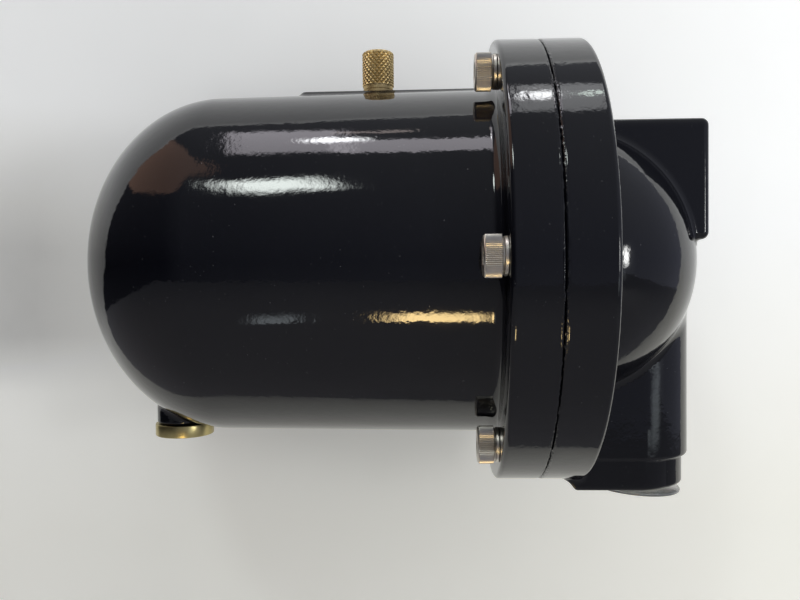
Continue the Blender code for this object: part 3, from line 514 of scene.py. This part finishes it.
def build_screws(plating):
    """Cap screws with fine teeth round their heads, each on its split washer."""
    teeth, per_tooth = 66, 4
    peak, deep = 6.28, 0.32
    count = teeth * per_tooth
    knurl = peak - deep * (1 - wave(angles(count), teeth))
    socket = hex_radius(HEAD_KEY, count)
    # The rows run from the socket's floor, over the head, to the end of the thread.
    rows = [(-2.2, 0), (-2.5, socket * 0.97), (-2.55, socket), (-5.5, socket),
            (-5.7, socket + 0.22), (-5.7, 5.5), (-5.66, 5.72), (-5.52, 5.88),
            (-5.35, 5.96), (-5.1, knurl), (-4.95, knurl), (-2.6, knurl), (-0.9, knurl),
            (-0.3 + (knurl - peak), knurl), (-0.25, 5.6), (0.2, 5.5), (0.2, 4.2),
            (0.3, 4.0), (1.5, 4.0)]
    rows += thread_rows(1.6, 24.2, SCREW_PITCH, SCREW_CREST, SCREW_ROOT, count, 6)
    rows += [(25, 3.1), (25, 0)]
    # No two screws or washers were left at the same turn.
    for index in range(SCREWS):
        angle = screw_angle(index)
        across, up = SCREW_CIRCLE * math.sin(angle), SCREW_CIRCLE * math.cos(angle)
        made = turned(f"cap_screw_{index + 1}", rows, count, (SCREW_SEAT, across, up), "+x",
                      angle=32, turn=0.37 * index + 0.2)
        fit(made, f"screw_{index + 1}", plating, [f"flange_screw_{index + 1}"])
        spot = (-FLANGE_THICK - 0.25, across, up)
        made = lock_washer(f"lock_washer_{index + 1}", spot, 1.1 * index + 0.9)
        fit(made, f"washer_{index + 1}", plating,
            [f"spring_washer_{index + 1}"])


def lock_washer(name, spot, turn):
    """A split ring whose ends are cut at a slant."""
    inner, outer, thick, edge, split = 4.3, 5.78, 1.15, 0.16, 0.18
    section = [(0, inner + edge), (0, outer - edge), (-edge, outer), (edge - thick, outer),
               (-thick, outer - edge), (-thick, inner + edge), (edge - thick, inner),
               (-edge, inner)]
    steps = 72
    verts = []
    for step in range(steps + 1):
        for along, radius in section:
            slant = split / 2 * (along / thick + 0.5)
            angle = turn + split / 2 + (2 * math.pi - split) * step / steps + slant
            verts.append((spot[0] + along, spot[1] + radius * math.cos(angle),
                          spot[2] + radius * math.sin(angle)))
    n = len(section)
    quads = []
    for step in range(steps):
        for k in range(n):
            a, b = step * n + k, step * n + (k + 1) % n
            quads.append((a, b, b + n, a + n))
    first = np.arange(n)[::-1]
    last = np.arange(n) + steps * n
    faces = [np.array(quads), np.array([first, last])]
    return add_mesh(name, np.array(verts), faces)


KNURL_STARTS = 20
KNURL_PEAK = 5.95
KNURL_DEPTH = 0.42
KNURL_STEP = 0.97
TOP_WIDE, TOP_TALL = 0.3, 0.28     # of a pyramid's top: share of a column, millimetres
SKIRT = 1.45


def knurled_cap(name, place, tall):
    """A vent cap: its skirt is smooth, and pyramids cover the grip above it.

    The grip is a grid whose points are crossings of the grooves and, between them,
    the four corners of each pyramid's flat top."""
    columns = 2 * KNURL_STARTS
    column_angle = 2 * math.pi / columns
    rows = int((tall - SKIRT - 0.7) / KNURL_STEP)
    verts, quads, tris = [], [], []

    def point(column, height, radius):
        a = column * column_angle
        verts.append((radius * math.cos(a), radius * math.sin(a), height))
        return len(verts) - 1

    def ring(height, radius):
        return [point(column, height, radius) for column in range(columns)]

    def shoulder(height):
        return KNURL_PEAK - max(0.0, height - tall + 1.0) ** 1.7

    crossing, tops = {}, {}
    for row in range(rows + 1):
        height = SKIRT + 0.25 + row * KNURL_STEP
        for column in range(columns):
            if (row + column) % 2 == 0:
                low = min(KNURL_PEAK - KNURL_DEPTH, shoulder(height) - 0.2)
                crossing[row, column] = point(column, height, low)
            else:
                peak = min(KNURL_PEAK, shoulder(height))
                tops[row, column] = [
                    point(column + dc, height + dr, peak)
                    for dc, dr in ((-TOP_WIDE, 0), (0, -TOP_TALL), (TOP_WIDE, 0), (0, TOP_TALL))]
    foot = ring(SKIRT, 5.6)
    rim_height = tall - 0.35
    rim = ring(rim_height, shoulder(rim_height))
    for (row, column), (left, below, right, above) in tops.items():
        before, after = (column - 1) % columns, (column + 1) % columns
        west, east = crossing[row, before], crossing[row, after]
        quads.append((left, below, right, above))
        if row > 0:
            south = crossing[row - 1, column]
            quads += [(west, south, below, left), (south, east, right, below)]
        else:
            quads += [(west, foot[before], below, left), (foot[after], east, right, below)]
            tris += [(foot[before], foot[column], below), (foot[column], foot[after], below)]
        if row < rows:
            north = crossing[row + 1, column]
            quads += [(left, above, north, west), (above, right, east, north)]
        else:
            quads += [(left, above, rim[before], west), (above, right, east, rim[after])]
            tris += [(above, rim[column], rim[before]), (above, rim[after], rim[column])]
    # Top face and, inside the skirt, the recess and the stem.
    outer = [rim, ring(tall - 0.12, 4.7), ring(tall, 4.4)]
    inner = [foot]
    inner += [ring(height, radius) for height, radius in (
        (0.12, 5.6), (0, 5.48), (0, 4.75), (1.1, 4.75), (1.1, 2.0), (-4.2, 2.0))]
    for upper, lower in zip(inner, inner[1:]):
        quads += [(upper[c], lower[c], lower[(c + 1) % columns], upper[(c + 1) % columns])
                  for c in range(columns)]
    for lower, upper in zip(outer, outer[1:]):
        quads += [(lower[c], lower[(c + 1) % columns], upper[(c + 1) % columns], upper[c])
                  for c in range(columns)]
    tip, crown = point(0, -6.2, 0), point(0, tall, 0)
    for c in range(columns):
        d = (c + 1) % columns
        tris += [(outer[-1][c], outer[-1][d], crown), (inner[-1][d], inner[-1][c], tip)]
    verts = np.array(verts) + np.array(place)
    return add_mesh(name, verts, [np.array(quads), np.array(tris)], angle=30)


def build_vent(finish, seal):
    """The vent: its threaded seat in the pad, the knurled cap and the seal between."""
    count = 96
    place = (VENT_X, 0, 0)
    base = VENT_SEAT - 1.35
    bottom = span("vent_body", 2)[0]
    bore, rim = 2.3, 5.62
    rows = [(bottom, bore), (bottom, 3.6), (bottom + 0.5, 4.0)]
    rows += thread_rows(bottom + 0.7, base - 0.2, 1.0, 4.0, 3.5, count, 5)
    rows += [(base, 4.0), (base, 5.5), (base + 0.1, rim), (base + 1.15, rim),
             (base + 1.27, 5.5), (base + 1.27, bore)]
    fit(turned("vent_seat", rows, count, place, "+z", closed=True), "bowl_casting", finish,
        ["vent_body"])
    tall = span("vent_cap", 2)[1] - VENT_SEAT
    cap = knurled_cap("vent_knob_knurled", (VENT_X, 0, VENT_SEAT), tall)
    slot_in_top(cap, np.array((VENT_X, 0, VENT_SEAT + tall)), turn=0.55, width=1.2, depth=1.4)
    fit(cap, "vent_knob", finish, ["vent_cap"])
    outer, thick = 4.45, 0.8
    ring = [(VENT_SEAT, bore), (VENT_SEAT, outer), (VENT_SEAT + thick, outer),
            (VENT_SEAT + thick, bore)]
    fit(turned("vent_washer", ring, 48, place, "+z", closed=True), "vent_ring", seal,
        ["vent_seal"])


def slot_in_top(target, top, turn, width, depth):
    """Cut a screwdriver slot across the top of a turned piece."""
    length = 18
    cube = bmesh.new()
    bmesh.ops.create_cube(cube, size=1)
    mesh = bpy.data.meshes.new("slot_cutter")
    cube.to_mesh(mesh)
    cube.free()
    cutter = bpy.data.objects.new("slot_cutter", mesh)
    bpy.context.scene.collection.objects.link(cutter)
    place = Matrix.Translation(Vector(top * MM + JOINT)) @ Matrix.Rotation(turn, 4, "Z")
    mesh.transform(place @ Matrix.Diagonal((length * MM, width * MM, 2 * depth * MM, 1)))
    change = target.modifiers.new("slot", "BOOLEAN")
    change.operation = "DIFFERENCE"
    change.solver = "EXACT"
    change.object = cutter
    bake(target)
    bpy.data.objects.remove(cutter)


def bake(target):
    """Apply an object's modifiers to its mesh."""
    depsgraph = bpy.context.evaluated_depsgraph_get()
    made = bpy.data.meshes.new_from_object(target.evaluated_get(depsgraph))
    target.modifiers.clear()
    target.data = made
    made.shade_smooth()
    made.set_sharp_from_angle(angle=math.radians(CREASE))


DRAIN_PITCH = 1.337
DRAIN_CREST, DRAIN_ROOT = 6.58, 5.8


def build_drain(finish, seal):
    """The drain plug, with a hexagon socket below and its thread above, and its seal."""
    count = 144
    place = (DRAIN_X, 0, -DRAIN_DROP)
    socket = hex_radius(HEAD_KEY, count)
    # Along is measured down (-Z) from the end of the boss.
    rows = [(-1.0, 0), (-1.4, socket * 0.96), (-1.3, socket), (4.6, socket),
            (4.9, socket + 0.25), (4.9, 10.3), (4.85, 10.6), (4.68, 10.82), (4.4, 10.9),
            (0.75, 10.9), (0.45, 10.82), (0.3, 10.6), (0.3, 9.0), (1.8, 9.0), (1.8, 6.6)]
    rows += thread_rows(1.6, -7.6, DRAIN_PITCH, DRAIN_CREST, DRAIN_ROOT, count, 6)
    rows += [(-8.5, 5.5), (-8.5, 0)]
    fit(turned("drain_plug_turned", rows, count, place, "-z"), "drain_screw", finish,
        ["drain_plug"])
    ring = [(0.35, 7.0), (0.35, 8.6), (0.6, 8.75), (1.2, 8.75), (1.5, 8.6), (1.5, 7.0)]
    fit(turned("drain_washer", ring, 64, place, "-z", closed=True), "drain_ring", seal,
        ["drain_seal"])


PLUG_RADIUS = 17.4       # of a port plug's flange


def port_plug(name, flange, place, axis, tilt=0.0):
    """A moulded plug: a ribbed cup behind a flange, whose thickness is `flange`."""
    count = 96
    ribs = 0.12 * (1 - np.clip(6 * wave(angles(count), 8), 0, 1))
    rows = [(flange - 0.35, 0), (flange - 0.35, 1.0), (flange - 0.55, 1.3),
            (flange - 0.55, 10.0), (flange - 0.4, 10.5), (flange, 10.9), (flange, 16.9),
            (flange - 0.12, 17.25), (flange - 0.45, PLUG_RADIUS), (0.35, PLUG_RADIUS),
            (0.08, 17.2), (0, 16.9), (0, 11.9), (-0.3, 11.75), (-1, 11.7),
            (-9, 11.55 + ribs), (-11.3, 11.4 + ribs), (-12, 11.0), (-12, 10.4),
            (-11.6, 10.2), (flange - 1.9, 10.3), (flange - 1.9, 0)]
    verts, faces = lathe(rows, count)
    if tilt:
        # The flange leans; the spigot stays straight inside the bore.
        lean = np.clip((verts[:, 0] + 1.5) / 1.5, 0, 1) * math.tan(tilt)
        verts[:, 0] += lean * (verts[:, 2] + PLUG_RADIUS)
    return add_mesh(name, verts @ AXES[axis] + np.array(place), faces)


def build_plugs(plastic):
    made = port_plug("inlet_cap", 1.7, (INLET_SEAT + GAP, 0, INLET_Z), "+x")
    fit(made, "inlet_stopper", plastic, ["inlet_plug"])
    made = port_plug("outlet_cap", 1.1, (OUTLET_X, 0, OUTLET_Z - GAP), "-z",
                     tilt=math.radians(4.0))
    fit(made, "outlet_stopper", plastic, ["outlet_plug"])


# ---------------------------------------------------------------- materials
def new_material(name):
    made = bpy.data.materials.new(name)
    made.use_nodes = True
    tree = made.node_tree
    return made, tree, tree.nodes["Principled BSDF"]


def plug_in(tree, socket, value):
    """Link a socket to another node's output, or set it to a value."""
    if isinstance(value, bpy.types.NodeSocket):
        tree.links.new(value, socket)
    else:
        socket.default_value = value


def node(tree, kind, inputs=None, **settings):
    made = tree.nodes.new(kind)
    for key, value in settings.items():
        setattr(made, key, value)
    for key, value in (inputs or {}).items():
        plug_in(tree, made.inputs[key], value)
    return made


def noise(tree, scale, detail, roughness=0.5, stretch=None):
    """Noise over the object, in metres; stretch scales each axis."""
    place = node(tree, "ShaderNodeTexCoord").outputs["Object"]
    if stretch:
        place = node(tree, "ShaderNodeMapping", {"Vector": place, "Scale": stretch}).outputs[0]
    made = node(tree, "ShaderNodeTexNoise", {"Vector": place, "Scale": scale,
                                             "Detail": detail, "Roughness": roughness})
    return made.outputs["Fac"]


def remap(tree, value, low, high, to_low, to_high):
    made = node(tree, "ShaderNodeMapRange", {"Value": value, "From Min": low,
                                             "From Max": high, "To Min": to_low,
                                             "To Max": to_high})
    return made.outputs["Result"]


def mix_colour(tree, share, first, second):
    made = node(tree, "ShaderNodeMix", {0: share, 6: first, 7: second}, data_type="RGBA")
    return made.outputs[2]


def calc(tree, first, second, operation="ADD"):
    made = node(tree, "ShaderNodeMath", {0: first, 1: second}, operation=operation)
    return made.outputs[0]


def bump(tree, shader, height, distance):
    made = node(tree, "ShaderNodeBump", {"Height": height, "Distance": distance,
                                         "Strength": 1.0})
    tree.links.new(made.outputs["Normal"], shader.inputs["Normal"])


def black_paint():
    """Gloss paint with a slight ripple and fine dust, rough and lumpy in the seam."""
    made, tree, shader = new_material("gloss_black_paint")
    dust = remap(tree, noise(tree, 1400, 2.0), 0.745, 0.78, 0.0, 1.0)
    cloud = remap(tree, noise(tree, 18, 4.0), 0.35, 0.7, 0.0, 1.0)
    base = mix_colour(tree, cloud, (0.0042, 0.0045, 0.0075, 1), (0.0062, 0.0066, 0.0096, 1))
    tree.links.new(mix_colour(tree, dust, base, (0.16, 0.16, 0.16, 1)),
                   shader.inputs["Base Color"])
    place = node(tree, "ShaderNodeTexCoord").outputs["Object"]
    along = node(tree, "ShaderNodeSeparateXYZ", {"Vector": place}).outputs["X"]
    away = calc(tree, calc(tree, along, JOINT[0], "SUBTRACT"), 0.0, "ABSOLUTE")
    seam = remap(tree, away, 0.4 * MM, 1.0 * MM, 1.0, 0.0)
    rough = remap(tree, noise(tree, 60, 4.0), 0.3, 0.7, 0.035, 0.075)
    rougher = calc(tree, calc(tree, dust, seam, "MAXIMUM"), 0.12, "MULTIPLY")
    tree.links.new(calc(tree, rough, rougher), shader.inputs["Roughness"])
    peel = calc(tree, calc(tree, noise(tree, 420, 2.0), 0.55, "MULTIPLY"),
                calc(tree, noise(tree, 1000, 2.0), 0.22, "MULTIPLY"))
    swell = calc(tree, noise(tree, 95, 1.0, 0.4), 1.3, "MULTIPLY")
    lumps = calc(tree, calc(tree, noise(tree, 620, 2.0), seam, "MULTIPLY"), 9.0, "MULTIPLY")
    bump(tree, shader, calc(tree, calc(tree, peel, swell), lumps), 0.05 * MM)
    shader.inputs["IOR"].default_value = 1.5
    return made


def plated_steel():
    made, tree, shader = new_material("nickel_plated_steel")
    cloud = remap(tree, noise(tree, 240, 4.0), 0.3, 0.7, 0.0, 1.0)
    colour = mix_colour(tree, cloud, (0.66, 0.62, 0.55, 1), (0.76, 0.72, 0.65, 1))
    tree.links.new(colour, shader.inputs["Base Color"])
    rough = remap(tree, noise(tree, 500, 4.0), 0.3, 0.7, 0.3, 0.42)
    tree.links.new(rough, shader.inputs["Roughness"])
    shader.inputs["Metallic"].default_value = 1.0
    bump(tree, shader, noise(tree, 1500, 3.0), 0.012 * MM)
    return made


def brass(name, light, dark, rough_low, rough_high, grain=0.02 * MM):
    made, tree, shader = new_material(name)
    cloud = remap(tree, noise(tree, 260, 5.0, 0.6), 0.32, 0.68, 0.0, 1.0)
    colour = mix_colour(tree, cloud, light, dark)
    tree.links.new(colour, shader.inputs["Base Color"])
    rough = remap(tree, noise(tree, 700, 4.0), 0.3, 0.7, rough_low, rough_high)
    tree.links.new(rough, shader.inputs["Roughness"])
    shader.inputs["Metallic"].default_value = 1.0
    bump(tree, shader, noise(tree, 1800, 3.0), grain)
    return made


def metal(name, light, dark, rough_low, rough_high, stretch=None):
    made, tree, shader = new_material(name)
    cloud = remap(tree, noise(tree, 120, 4.0, stretch=stretch), 0.3, 0.7, 0.0, 1.0)
    tree.links.new(mix_colour(tree, cloud, light, dark), shader.inputs["Base Color"])
    rough = remap(tree, noise(tree, 400, 4.0, stretch=stretch), 0.3, 0.7, rough_low, rough_high)
    tree.links.new(rough, shader.inputs["Roughness"])
    shader.inputs["Metallic"].default_value = 1.0
    bump(tree, shader, noise(tree, 900, 3.0, stretch=stretch), 0.02 * MM)
    return made


def rubber():
    made, tree, shader = new_material("moulded_rubber")
    cloud = remap(tree, noise(tree, 300, 4.0), 0.3, 0.7, 0.0, 1.0)
    colour = mix_colour(tree, cloud, (0.012, 0.012, 0.012, 1), (0.03, 0.03, 0.03, 1))
    tree.links.new(colour, shader.inputs["Base Color"])
    tree.links.new(remap(tree, cloud, 0, 1, 0.5, 0.75), shader.inputs["Roughness"])
    bump(tree, shader, noise(tree, 2200, 3.0), 0.03 * MM)
    return made


def polythene():
    made, tree, shader = new_material("milky_polythene")
    cloud = remap(tree, noise(tree, 90, 4.0), 0.3, 0.7, 0.0, 1.0)
    colour = mix_colour(tree, cloud, (0.88, 0.89, 0.87, 1), (0.93, 0.94, 0.92, 1))
    tree.links.new(colour, shader.inputs["Base Color"])
    tree.links.new(remap(tree, cloud, 0, 1, 0.14, 0.24), shader.inputs["Roughness"])
    shader.inputs["Transmission Weight"].default_value = 0.8
    shader.inputs["IOR"].default_value = 1.45
    shader.inputs["Subsurface Weight"].default_value = 0.4
    shader.inputs["Subsurface Radius"].default_value = (2 * MM, 2 * MM, 2 * MM)
    shader.inputs["Subsurface Scale"].default_value = 1.0
    bump(tree, shader, noise(tree, 700, 3.0), 0.03 * MM)
    return made


# ---------------------------------------------------------------- the object
PAINT = black_paint()
NICKEL = plated_steel()
VENT_BRASS = brass("aged_brass", (0.84, 0.66, 0.34, 1), (0.66, 0.50, 0.24, 1), 0.42, 0.55)
DRAIN_BRASS = brass("turned_brass", (0.60, 0.51, 0.25, 1), (0.52, 0.44, 0.20, 1), 0.28, 0.34,
                    grain=0.003 * MM)
STEEL = metal("brushed_stainless", (0.62, 0.61, 0.59, 1), (0.5, 0.49, 0.48, 1), 0.22, 0.38,
              (0.2, 3, 3))
RUBBER = rubber()
PLASTIC = polythene()
MAGNET = metal("plated_magnet", (0.5, 0.5, 0.51, 1), (0.4, 0.4, 0.42, 1), 0.15, 0.3)
POLE = metal("pole_steel_dark", (0.3, 0.29, 0.28, 1), (0.2, 0.2, 0.2, 1), 0.3, 0.5)

FINE_SEAM = (-2.2, 2.6, 0.4)


def build_bowl(paint):
    verts, quads, slope = surface_net(
        bowl_field,
        grid_lines(-165.0, 2.0, 1.5, [(-18.5, -12, 0.7), FINE_SEAM]),
        grid_lines(-82.0, 82.0, 1.3, [(-11.5, 11.5, 0.75)]),
        grid_lines(-82.0, 82.0, 1.3, [(62.5, 65.5, 0.45), (-62.5, -58, 0.5)]))
    fit(add_mesh("bowl_cast", verts, [quads], slope), "bowl_casting", paint,
        ["bowl"])


def build_head(paint):
    verts, quads, slope = surface_net(
        head_field,
        grid_lines(-1.2, 61.0, 1.2, [FINE_SEAM, (7.5, 10.5, 0.6), (12.5, 16, 0.6),
                                     (41, 60.5, 0.36)]),
        grid_lines(-82.0, 82.0, 1.2, [(-26, 26, 0.9)]),
        grid_lines(-84.0, 82.0, 1.2, [(-83.5, -63.5, 0.36)]))
    fit(add_mesh("head_cast", verts, [quads], slope), "head_casting", paint,
        ["head"])


def finish_inner_nodes():
    """Give the CAD nodes that show as they are their metals and rubber."""
    for label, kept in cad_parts.items():
        if kept.hide_render:
            continue
        finish = STEEL
        if label.endswith("o_ring"):
            finish = RUBBER
        elif label.startswith("magnet_") and label != "magnet_sheath":
            finish = MAGNET
        elif label.startswith("pole_piece"):
            finish = POLE
        for material_slot in kept.material_slots:
            material_slot.material = finish
        kept.data.shade_smooth()
        kept.data.set_sharp_from_angle(angle=math.radians(CREASE))


# ---------------------------------------------------------------- camera
def place_camera():
    """Look level at the filter's side, turned and rolled a little as the photograph is."""
    data = bpy.data.cameras.new("camera")
    data.lens = 34.47
    data.sensor_width = 36.0
    data.clip_start = 0.01
    data.clip_end = 20.0
    made = bpy.data.objects.new("camera", data)
    bpy.context.scene.collection.objects.link(made)
    place = (-0.0748, -0.292, 0.075)
    yaw, pitch, roll = math.radians(2.4), math.radians(-1.4), math.radians(-0.55)
    ahead = Vector((-math.sin(yaw) * math.cos(pitch), math.cos(yaw) * math.cos(pitch),
                    math.sin(pitch)))
    turn = ahead.to_track_quat("-Z", "Y").to_matrix() @ Matrix.Rotation(roll, 3, "Z")
    made.matrix_world = Matrix.Translation(place) @ turn.to_4x4()
    bpy.context.scene.camera = made


# ---------------------------------------------------------------- stage and light
def stage_panel(name, corners, finish):
    """A flat panel of the stage; its corners are vessel metres."""
    mesh = bpy.data.meshes.new(name)
    mesh.from_pydata([Vector(JOINT) + Vector(corner) for corner in corners], [],
                     [range(len(corners))])
    made = bpy.data.objects.new(name, mesh)
    bpy.context.scene.collection.objects.link(made)
    mesh.materials.append(finish)


def matt_card(name, albedo):
    made, tree, shader = new_material(name)
    shader.inputs["Roughness"].default_value = 0.9
    shader.inputs["Specular IOR Level"].default_value = 0.1
    grain = remap(tree, noise(tree, 40, 5.0), 0.3, 0.7, 0.97, 1.03)
    tree.links.new(mix_colour(tree, grain, (0, 0, 0, 1), albedo), shader.inputs["Base Color"])
    return made, tree, shader


def glow_when_seen(tree, shader, tint, strength):
    """Light that only the eye, reflections and clear materials see."""
    path = node(tree, "ShaderNodeLightPath").outputs
    seen = calc(tree, calc(tree, path["Is Camera Ray"], path["Is Glossy Ray"], "MAXIMUM"),
                path["Is Transmission Ray"], "MAXIMUM")
    tree.links.new(tint, shader.inputs["Emission Color"])
    tree.links.new(calc(tree, seen, strength, "MULTIPLY"), shader.inputs["Emission Strength"])


def clear_from_behind(tree, shader):
    mixed = node(tree, "ShaderNodeMixShader", {
        0: node(tree, "ShaderNodeNewGeometry").outputs["Backfacing"],
        1: shader.outputs[0],
        2: node(tree, "ShaderNodeBsdfTransparent").outputs[0]})
    tree.links.new(mixed.outputs[0], tree.nodes["Material Output"].inputs["Surface"])


def table_glow(tree):
    """Painted light and shade on the table: brightest to the right, greyer to the left,
    warmer below, with painted soft shade round the object where less of the room's light
    comes in."""
    place = node(tree, "ShaderNodeTexCoord").outputs["Object"]
    axes = node(tree, "ShaderNodeSeparateXYZ", {"Vector": place}).outputs

    def across(start, end, first, last):
        """From one level to another between two places along X, in vessel metres."""
        return remap(tree, axes["X"], JOINT[0] + start, JOINT[0] + end, first, last)

    def upwards(start, end, first, last):
        return remap(tree, axes["Z"], JOINT[2] + start, JOINT[2] + end, first, last)

    # Painted contact shade: ambient occlusion near the object dims the table's glow.
    shade = node(tree, "ShaderNodeAmbientOcclusion", {"Distance": 0.22,
                                                      "Normal": (-0.2, -0.5, 0.84)}, samples=8)
    open_air = remap(tree, shade.outputs["AO"], 0.0, 0.93, 0.0, 1.0)
    # A painted shadow darkens the table's left, standing for the shade of something beside the
    # object.
    painted_left_shadow = calc(tree, calc(tree, across(-0.155, -0.215, 0.0, 1.0),
                          upwards(-0.055, -0.03, 0.0, 1.0), "MULTIPLY"),
               upwards(0.075, 0.01, 0.0, 1.0), "MULTIPLY")
    # Painted pool of light: the glow is brightest to the right and dims to the left and
    # downwards.
    level = calc(tree, across(-0.16, 0.14, 0.42, 0.70), upwards(-0.13, 0.05, 0.78, 1.0),
                 "MULTIPLY")
    # A painted bright strip on the table, beyond the view, is what the flanges' top edges
    # mirror.
    level = calc(tree, level, upwards(0.38, 0.42, 1.0, 1.9), "MULTIPLY")
    level = calc(tree, calc(tree, level, open_air, "MULTIPLY"),
                 remap(tree, painted_left_shadow, 0.0, 1.0, 1.0, 0.35), "MULTIPLY")
    # The painted glow is tinted warmer below and inside the painted shadow.
    warm = calc(tree, upwards(-0.12, 0.02, 1.0, 0.0), painted_left_shadow, "MAXIMUM")
    return mix_colour(tree, warm, (0.93, 0.94, 0.92, 1), (0.95, 0.93, 0.80, 1)), level


def build_stage():
    """The table that the filter lies against, seen from above in the photograph and so
    upright here, and a floor below."""
    behind, lean = 0.0816, 0.164
    # The slanting left end is the table's edge that the bowl's dome mirrors.
    outline = [(-0.25, -0.60), (0.70, -0.60), (0.70, 0.445), (-0.44, 0.445), (-0.46, 0.165),
               (-0.39, 0.0), (-0.27, -0.07)]
    table, tree, shader = matt_card("backdrop_card", (0.80, 0.80, 0.78, 1))
    glow_when_seen(tree, shader, *table_glow(tree))
    clear_from_behind(tree, shader)
    stage_panel("backdrop", [(x, behind + lean * x, z) for x, z in outline], table)
    reach, level = 2.5, -0.55
    corners = [(-reach, -reach, level), (reach, -reach, level), (reach, reach, level),
               (-reach, reach, level)]
    stage_panel("floor", corners, matt_card("floor_card", (0.55, 0.55, 0.56, 1))[0])


def lamp(name, glint, toward, size, radiance, colour, across=(1, 0, 0), edge=0.15,
         distance=1.6, shape="RECTANGLE", lights_floor=True):
    """A soft lamp seen along `toward` from the spot `glint` on the vessel that mirrors it.
    Its size is in radians, its width lies along `across`, and its light fades over a share
    `edge` of its size at each side."""
    toward = Vector(toward).normalized()
    up = toward.cross(Vector(across)).normalized()
    right = up.cross(toward)
    data = bpy.data.lights.new(name, "AREA")
    data.shape = shape
    data.size, data.size_y = size[0] * distance, size[1] * distance
    data.color = colour
    data.energy = radiance * math.pi * data.size * data.size_y
    data.use_nodes = True
    tree = data.node_tree
    on_lamp = node(tree, "ShaderNodeNewGeometry").outputs["Parametric"]
    axes = node(tree, "ShaderNodeSeparateXYZ", {"Vector": on_lamp}).outputs
    fade = 1.0
    for value in (axes["X"], axes["Y"]):
        inner = calc(tree, value, calc(tree, 1.0, value, "SUBTRACT"), "MINIMUM")
        fade = calc(tree, remap(tree, inner, 0.0, edge, 0.0, 1.0), fade, "MULTIPLY")
    tree.links.new(fade, tree.nodes["Emission"].inputs["Strength"])
    made = bpy.data.objects.new(name, data)
    bpy.context.scene.collection.objects.link(made)
    turn = Matrix((right, up, toward)).transposed().to_4x4()
    place = Vector(JOINT) + Vector(glint) * MM + toward * distance
    made.matrix_world = Matrix.Translation(place) @ turn
    made.visible_diffuse = lights_floor


def build_light():
    """The room's windows and lamps, each where the photograph's reflections put it."""
    cool, grey = (0.97, 0.98, 1.0), (1.0, 0.95, 1.03)
    lamp("strip", (-84, -57, 23), (-0.215, -0.62, 0.75), (0.205, 0.21), 20.0,
         (0.93, 1.0, 0.96), across=(0.172, 0.02, 0.067), edge=0.3)
    lamp("window_far", (-78, -50, 37), (-0.20, -0.085, 0.975), (0.19, 0.40), 3.3, grey,
         edge=0.12)
    lamp("window_mid", (-50, -51, 35), (-0.02, -0.19, 0.98), (0.27, 0.20), 3.6, grey,
         edge=0.06)
    lamp("window_near", (0, -65, 46), (0.165, -0.10, 0.98), (0.15, 0.34), 2.2, cool,
         edge=0.08)
    lamp("pane_far", (-68, -49, 37), (-0.135, -0.080, 0.98), (0.12, 0.10), 34.0, cool,
         edge=0.45)
    lamp("pane_near", (-8, -65, 47), (0.135, -0.07, 0.98), (0.06, 0.13), 20.0, cool,
         edge=0.4)
    lamp("pane_rim", (10, -64, 48), (0.20, -0.06, 0.98), (0.06, 0.05), 10.0,
         (0.85, 1.0, 0.9), edge=0.4)
    lamp("skylight", (-55, -46, 41), (-0.085, 0.035, 1.0), (0.13, 0.04), 2.6,
         (1.0, 0.85, 0.8))
    # The next two hang close to the floor, so they only show in reflections.
    lamp("desk_lamp", (-37, -59.5, -18), (-0.014, -0.798, -0.602), (0.215, 0.165), 24.0,
         (1.0, 0.72, 0.32), edge=0.28, distance=0.85, lights_floor=False)
    lamp("card_far", (-86, -58.5, -20), (-0.22, -0.735, -0.64), (0.10, 0.30), 1.9,
         (0.85, 0.95, 1.0), edge=0.3, distance=0.85, lights_floor=False)
    lamp("side_lamp", (24, -49, 4), (0.76, -0.645, 0.03), (0.10, 0.27), 30.0,
         (1.0, 1.0, 0.98), edge=0.35)
    lamp("side_glow", (24, -49, 4), (0.70, -0.70, 0.0), (0.5, 0.5), 0.6, (0.9, 0.97, 1.0),
         edge=0.5)
    lamp("side_card", (40, -20, -50), (0.60, -0.79, -0.16), (0.42, 0.16), 1.2,
         (0.85, 0.95, 1.0), edge=0.3, distance=1.2)
    lamp("brown_board", (-119, -52, 32), (-0.63, -0.15, 0.76), (0.6, 1.12), 1.6,
         (0.33, 0.19, 0.13), across=(0.68, 0.51, 0.6), edge=0.08, shape="ELLIPSE")


def build_world():
    """A dim room in front, brighter overhead and to the right, and pale behind."""
    world = bpy.data.worlds.new("room")
    bpy.context.scene.world = world
    world.use_nodes = True
    tree = world.node_tree
    place = node(tree, "ShaderNodeTexCoord").outputs["Generated"]
    axes = node(tree, "ShaderNodeSeparateXYZ", {"Vector": place}).outputs
    ahead = remap(tree, axes["Y"], 0.5, 0.9, 0.0, 1.0)
    height = calc(tree, axes["Z"], 0.0, "ABSOLUTE")
    aside = remap(tree, axes["X"], -0.6, 0.7, -0.09, 0.25)
    level = calc(tree, remap(tree, height, 0.0, 1.0, 0.10, 0.22), aside)
    room = mix_colour(tree, height, (0.88, 0.92, 1.15, 1), (0.95, 0.98, 1.05, 1))
    pale = mix_colour(tree, ahead, room, (0.90, 0.90, 0.86, 1))
    strength = node(tree, "ShaderNodeMix", {0: ahead, 2: level, 3: 0.75}).outputs[0]
    back = tree.nodes["Background"]
    tree.links.new(pale, back.inputs["Color"])
    tree.links.new(strength, back.inputs["Strength"])


build_bowl(PAINT)
build_head(PAINT)
build_screws(NICKEL)
build_vent(VENT_BRASS, RUBBER)
build_drain(DRAIN_BRASS, RUBBER)
build_plugs(PLASTIC)
finish_inner_nodes()
place_camera()
build_stage()
build_light()
build_world()
bpy.context.scene.view_settings.view_transform = "Standard"
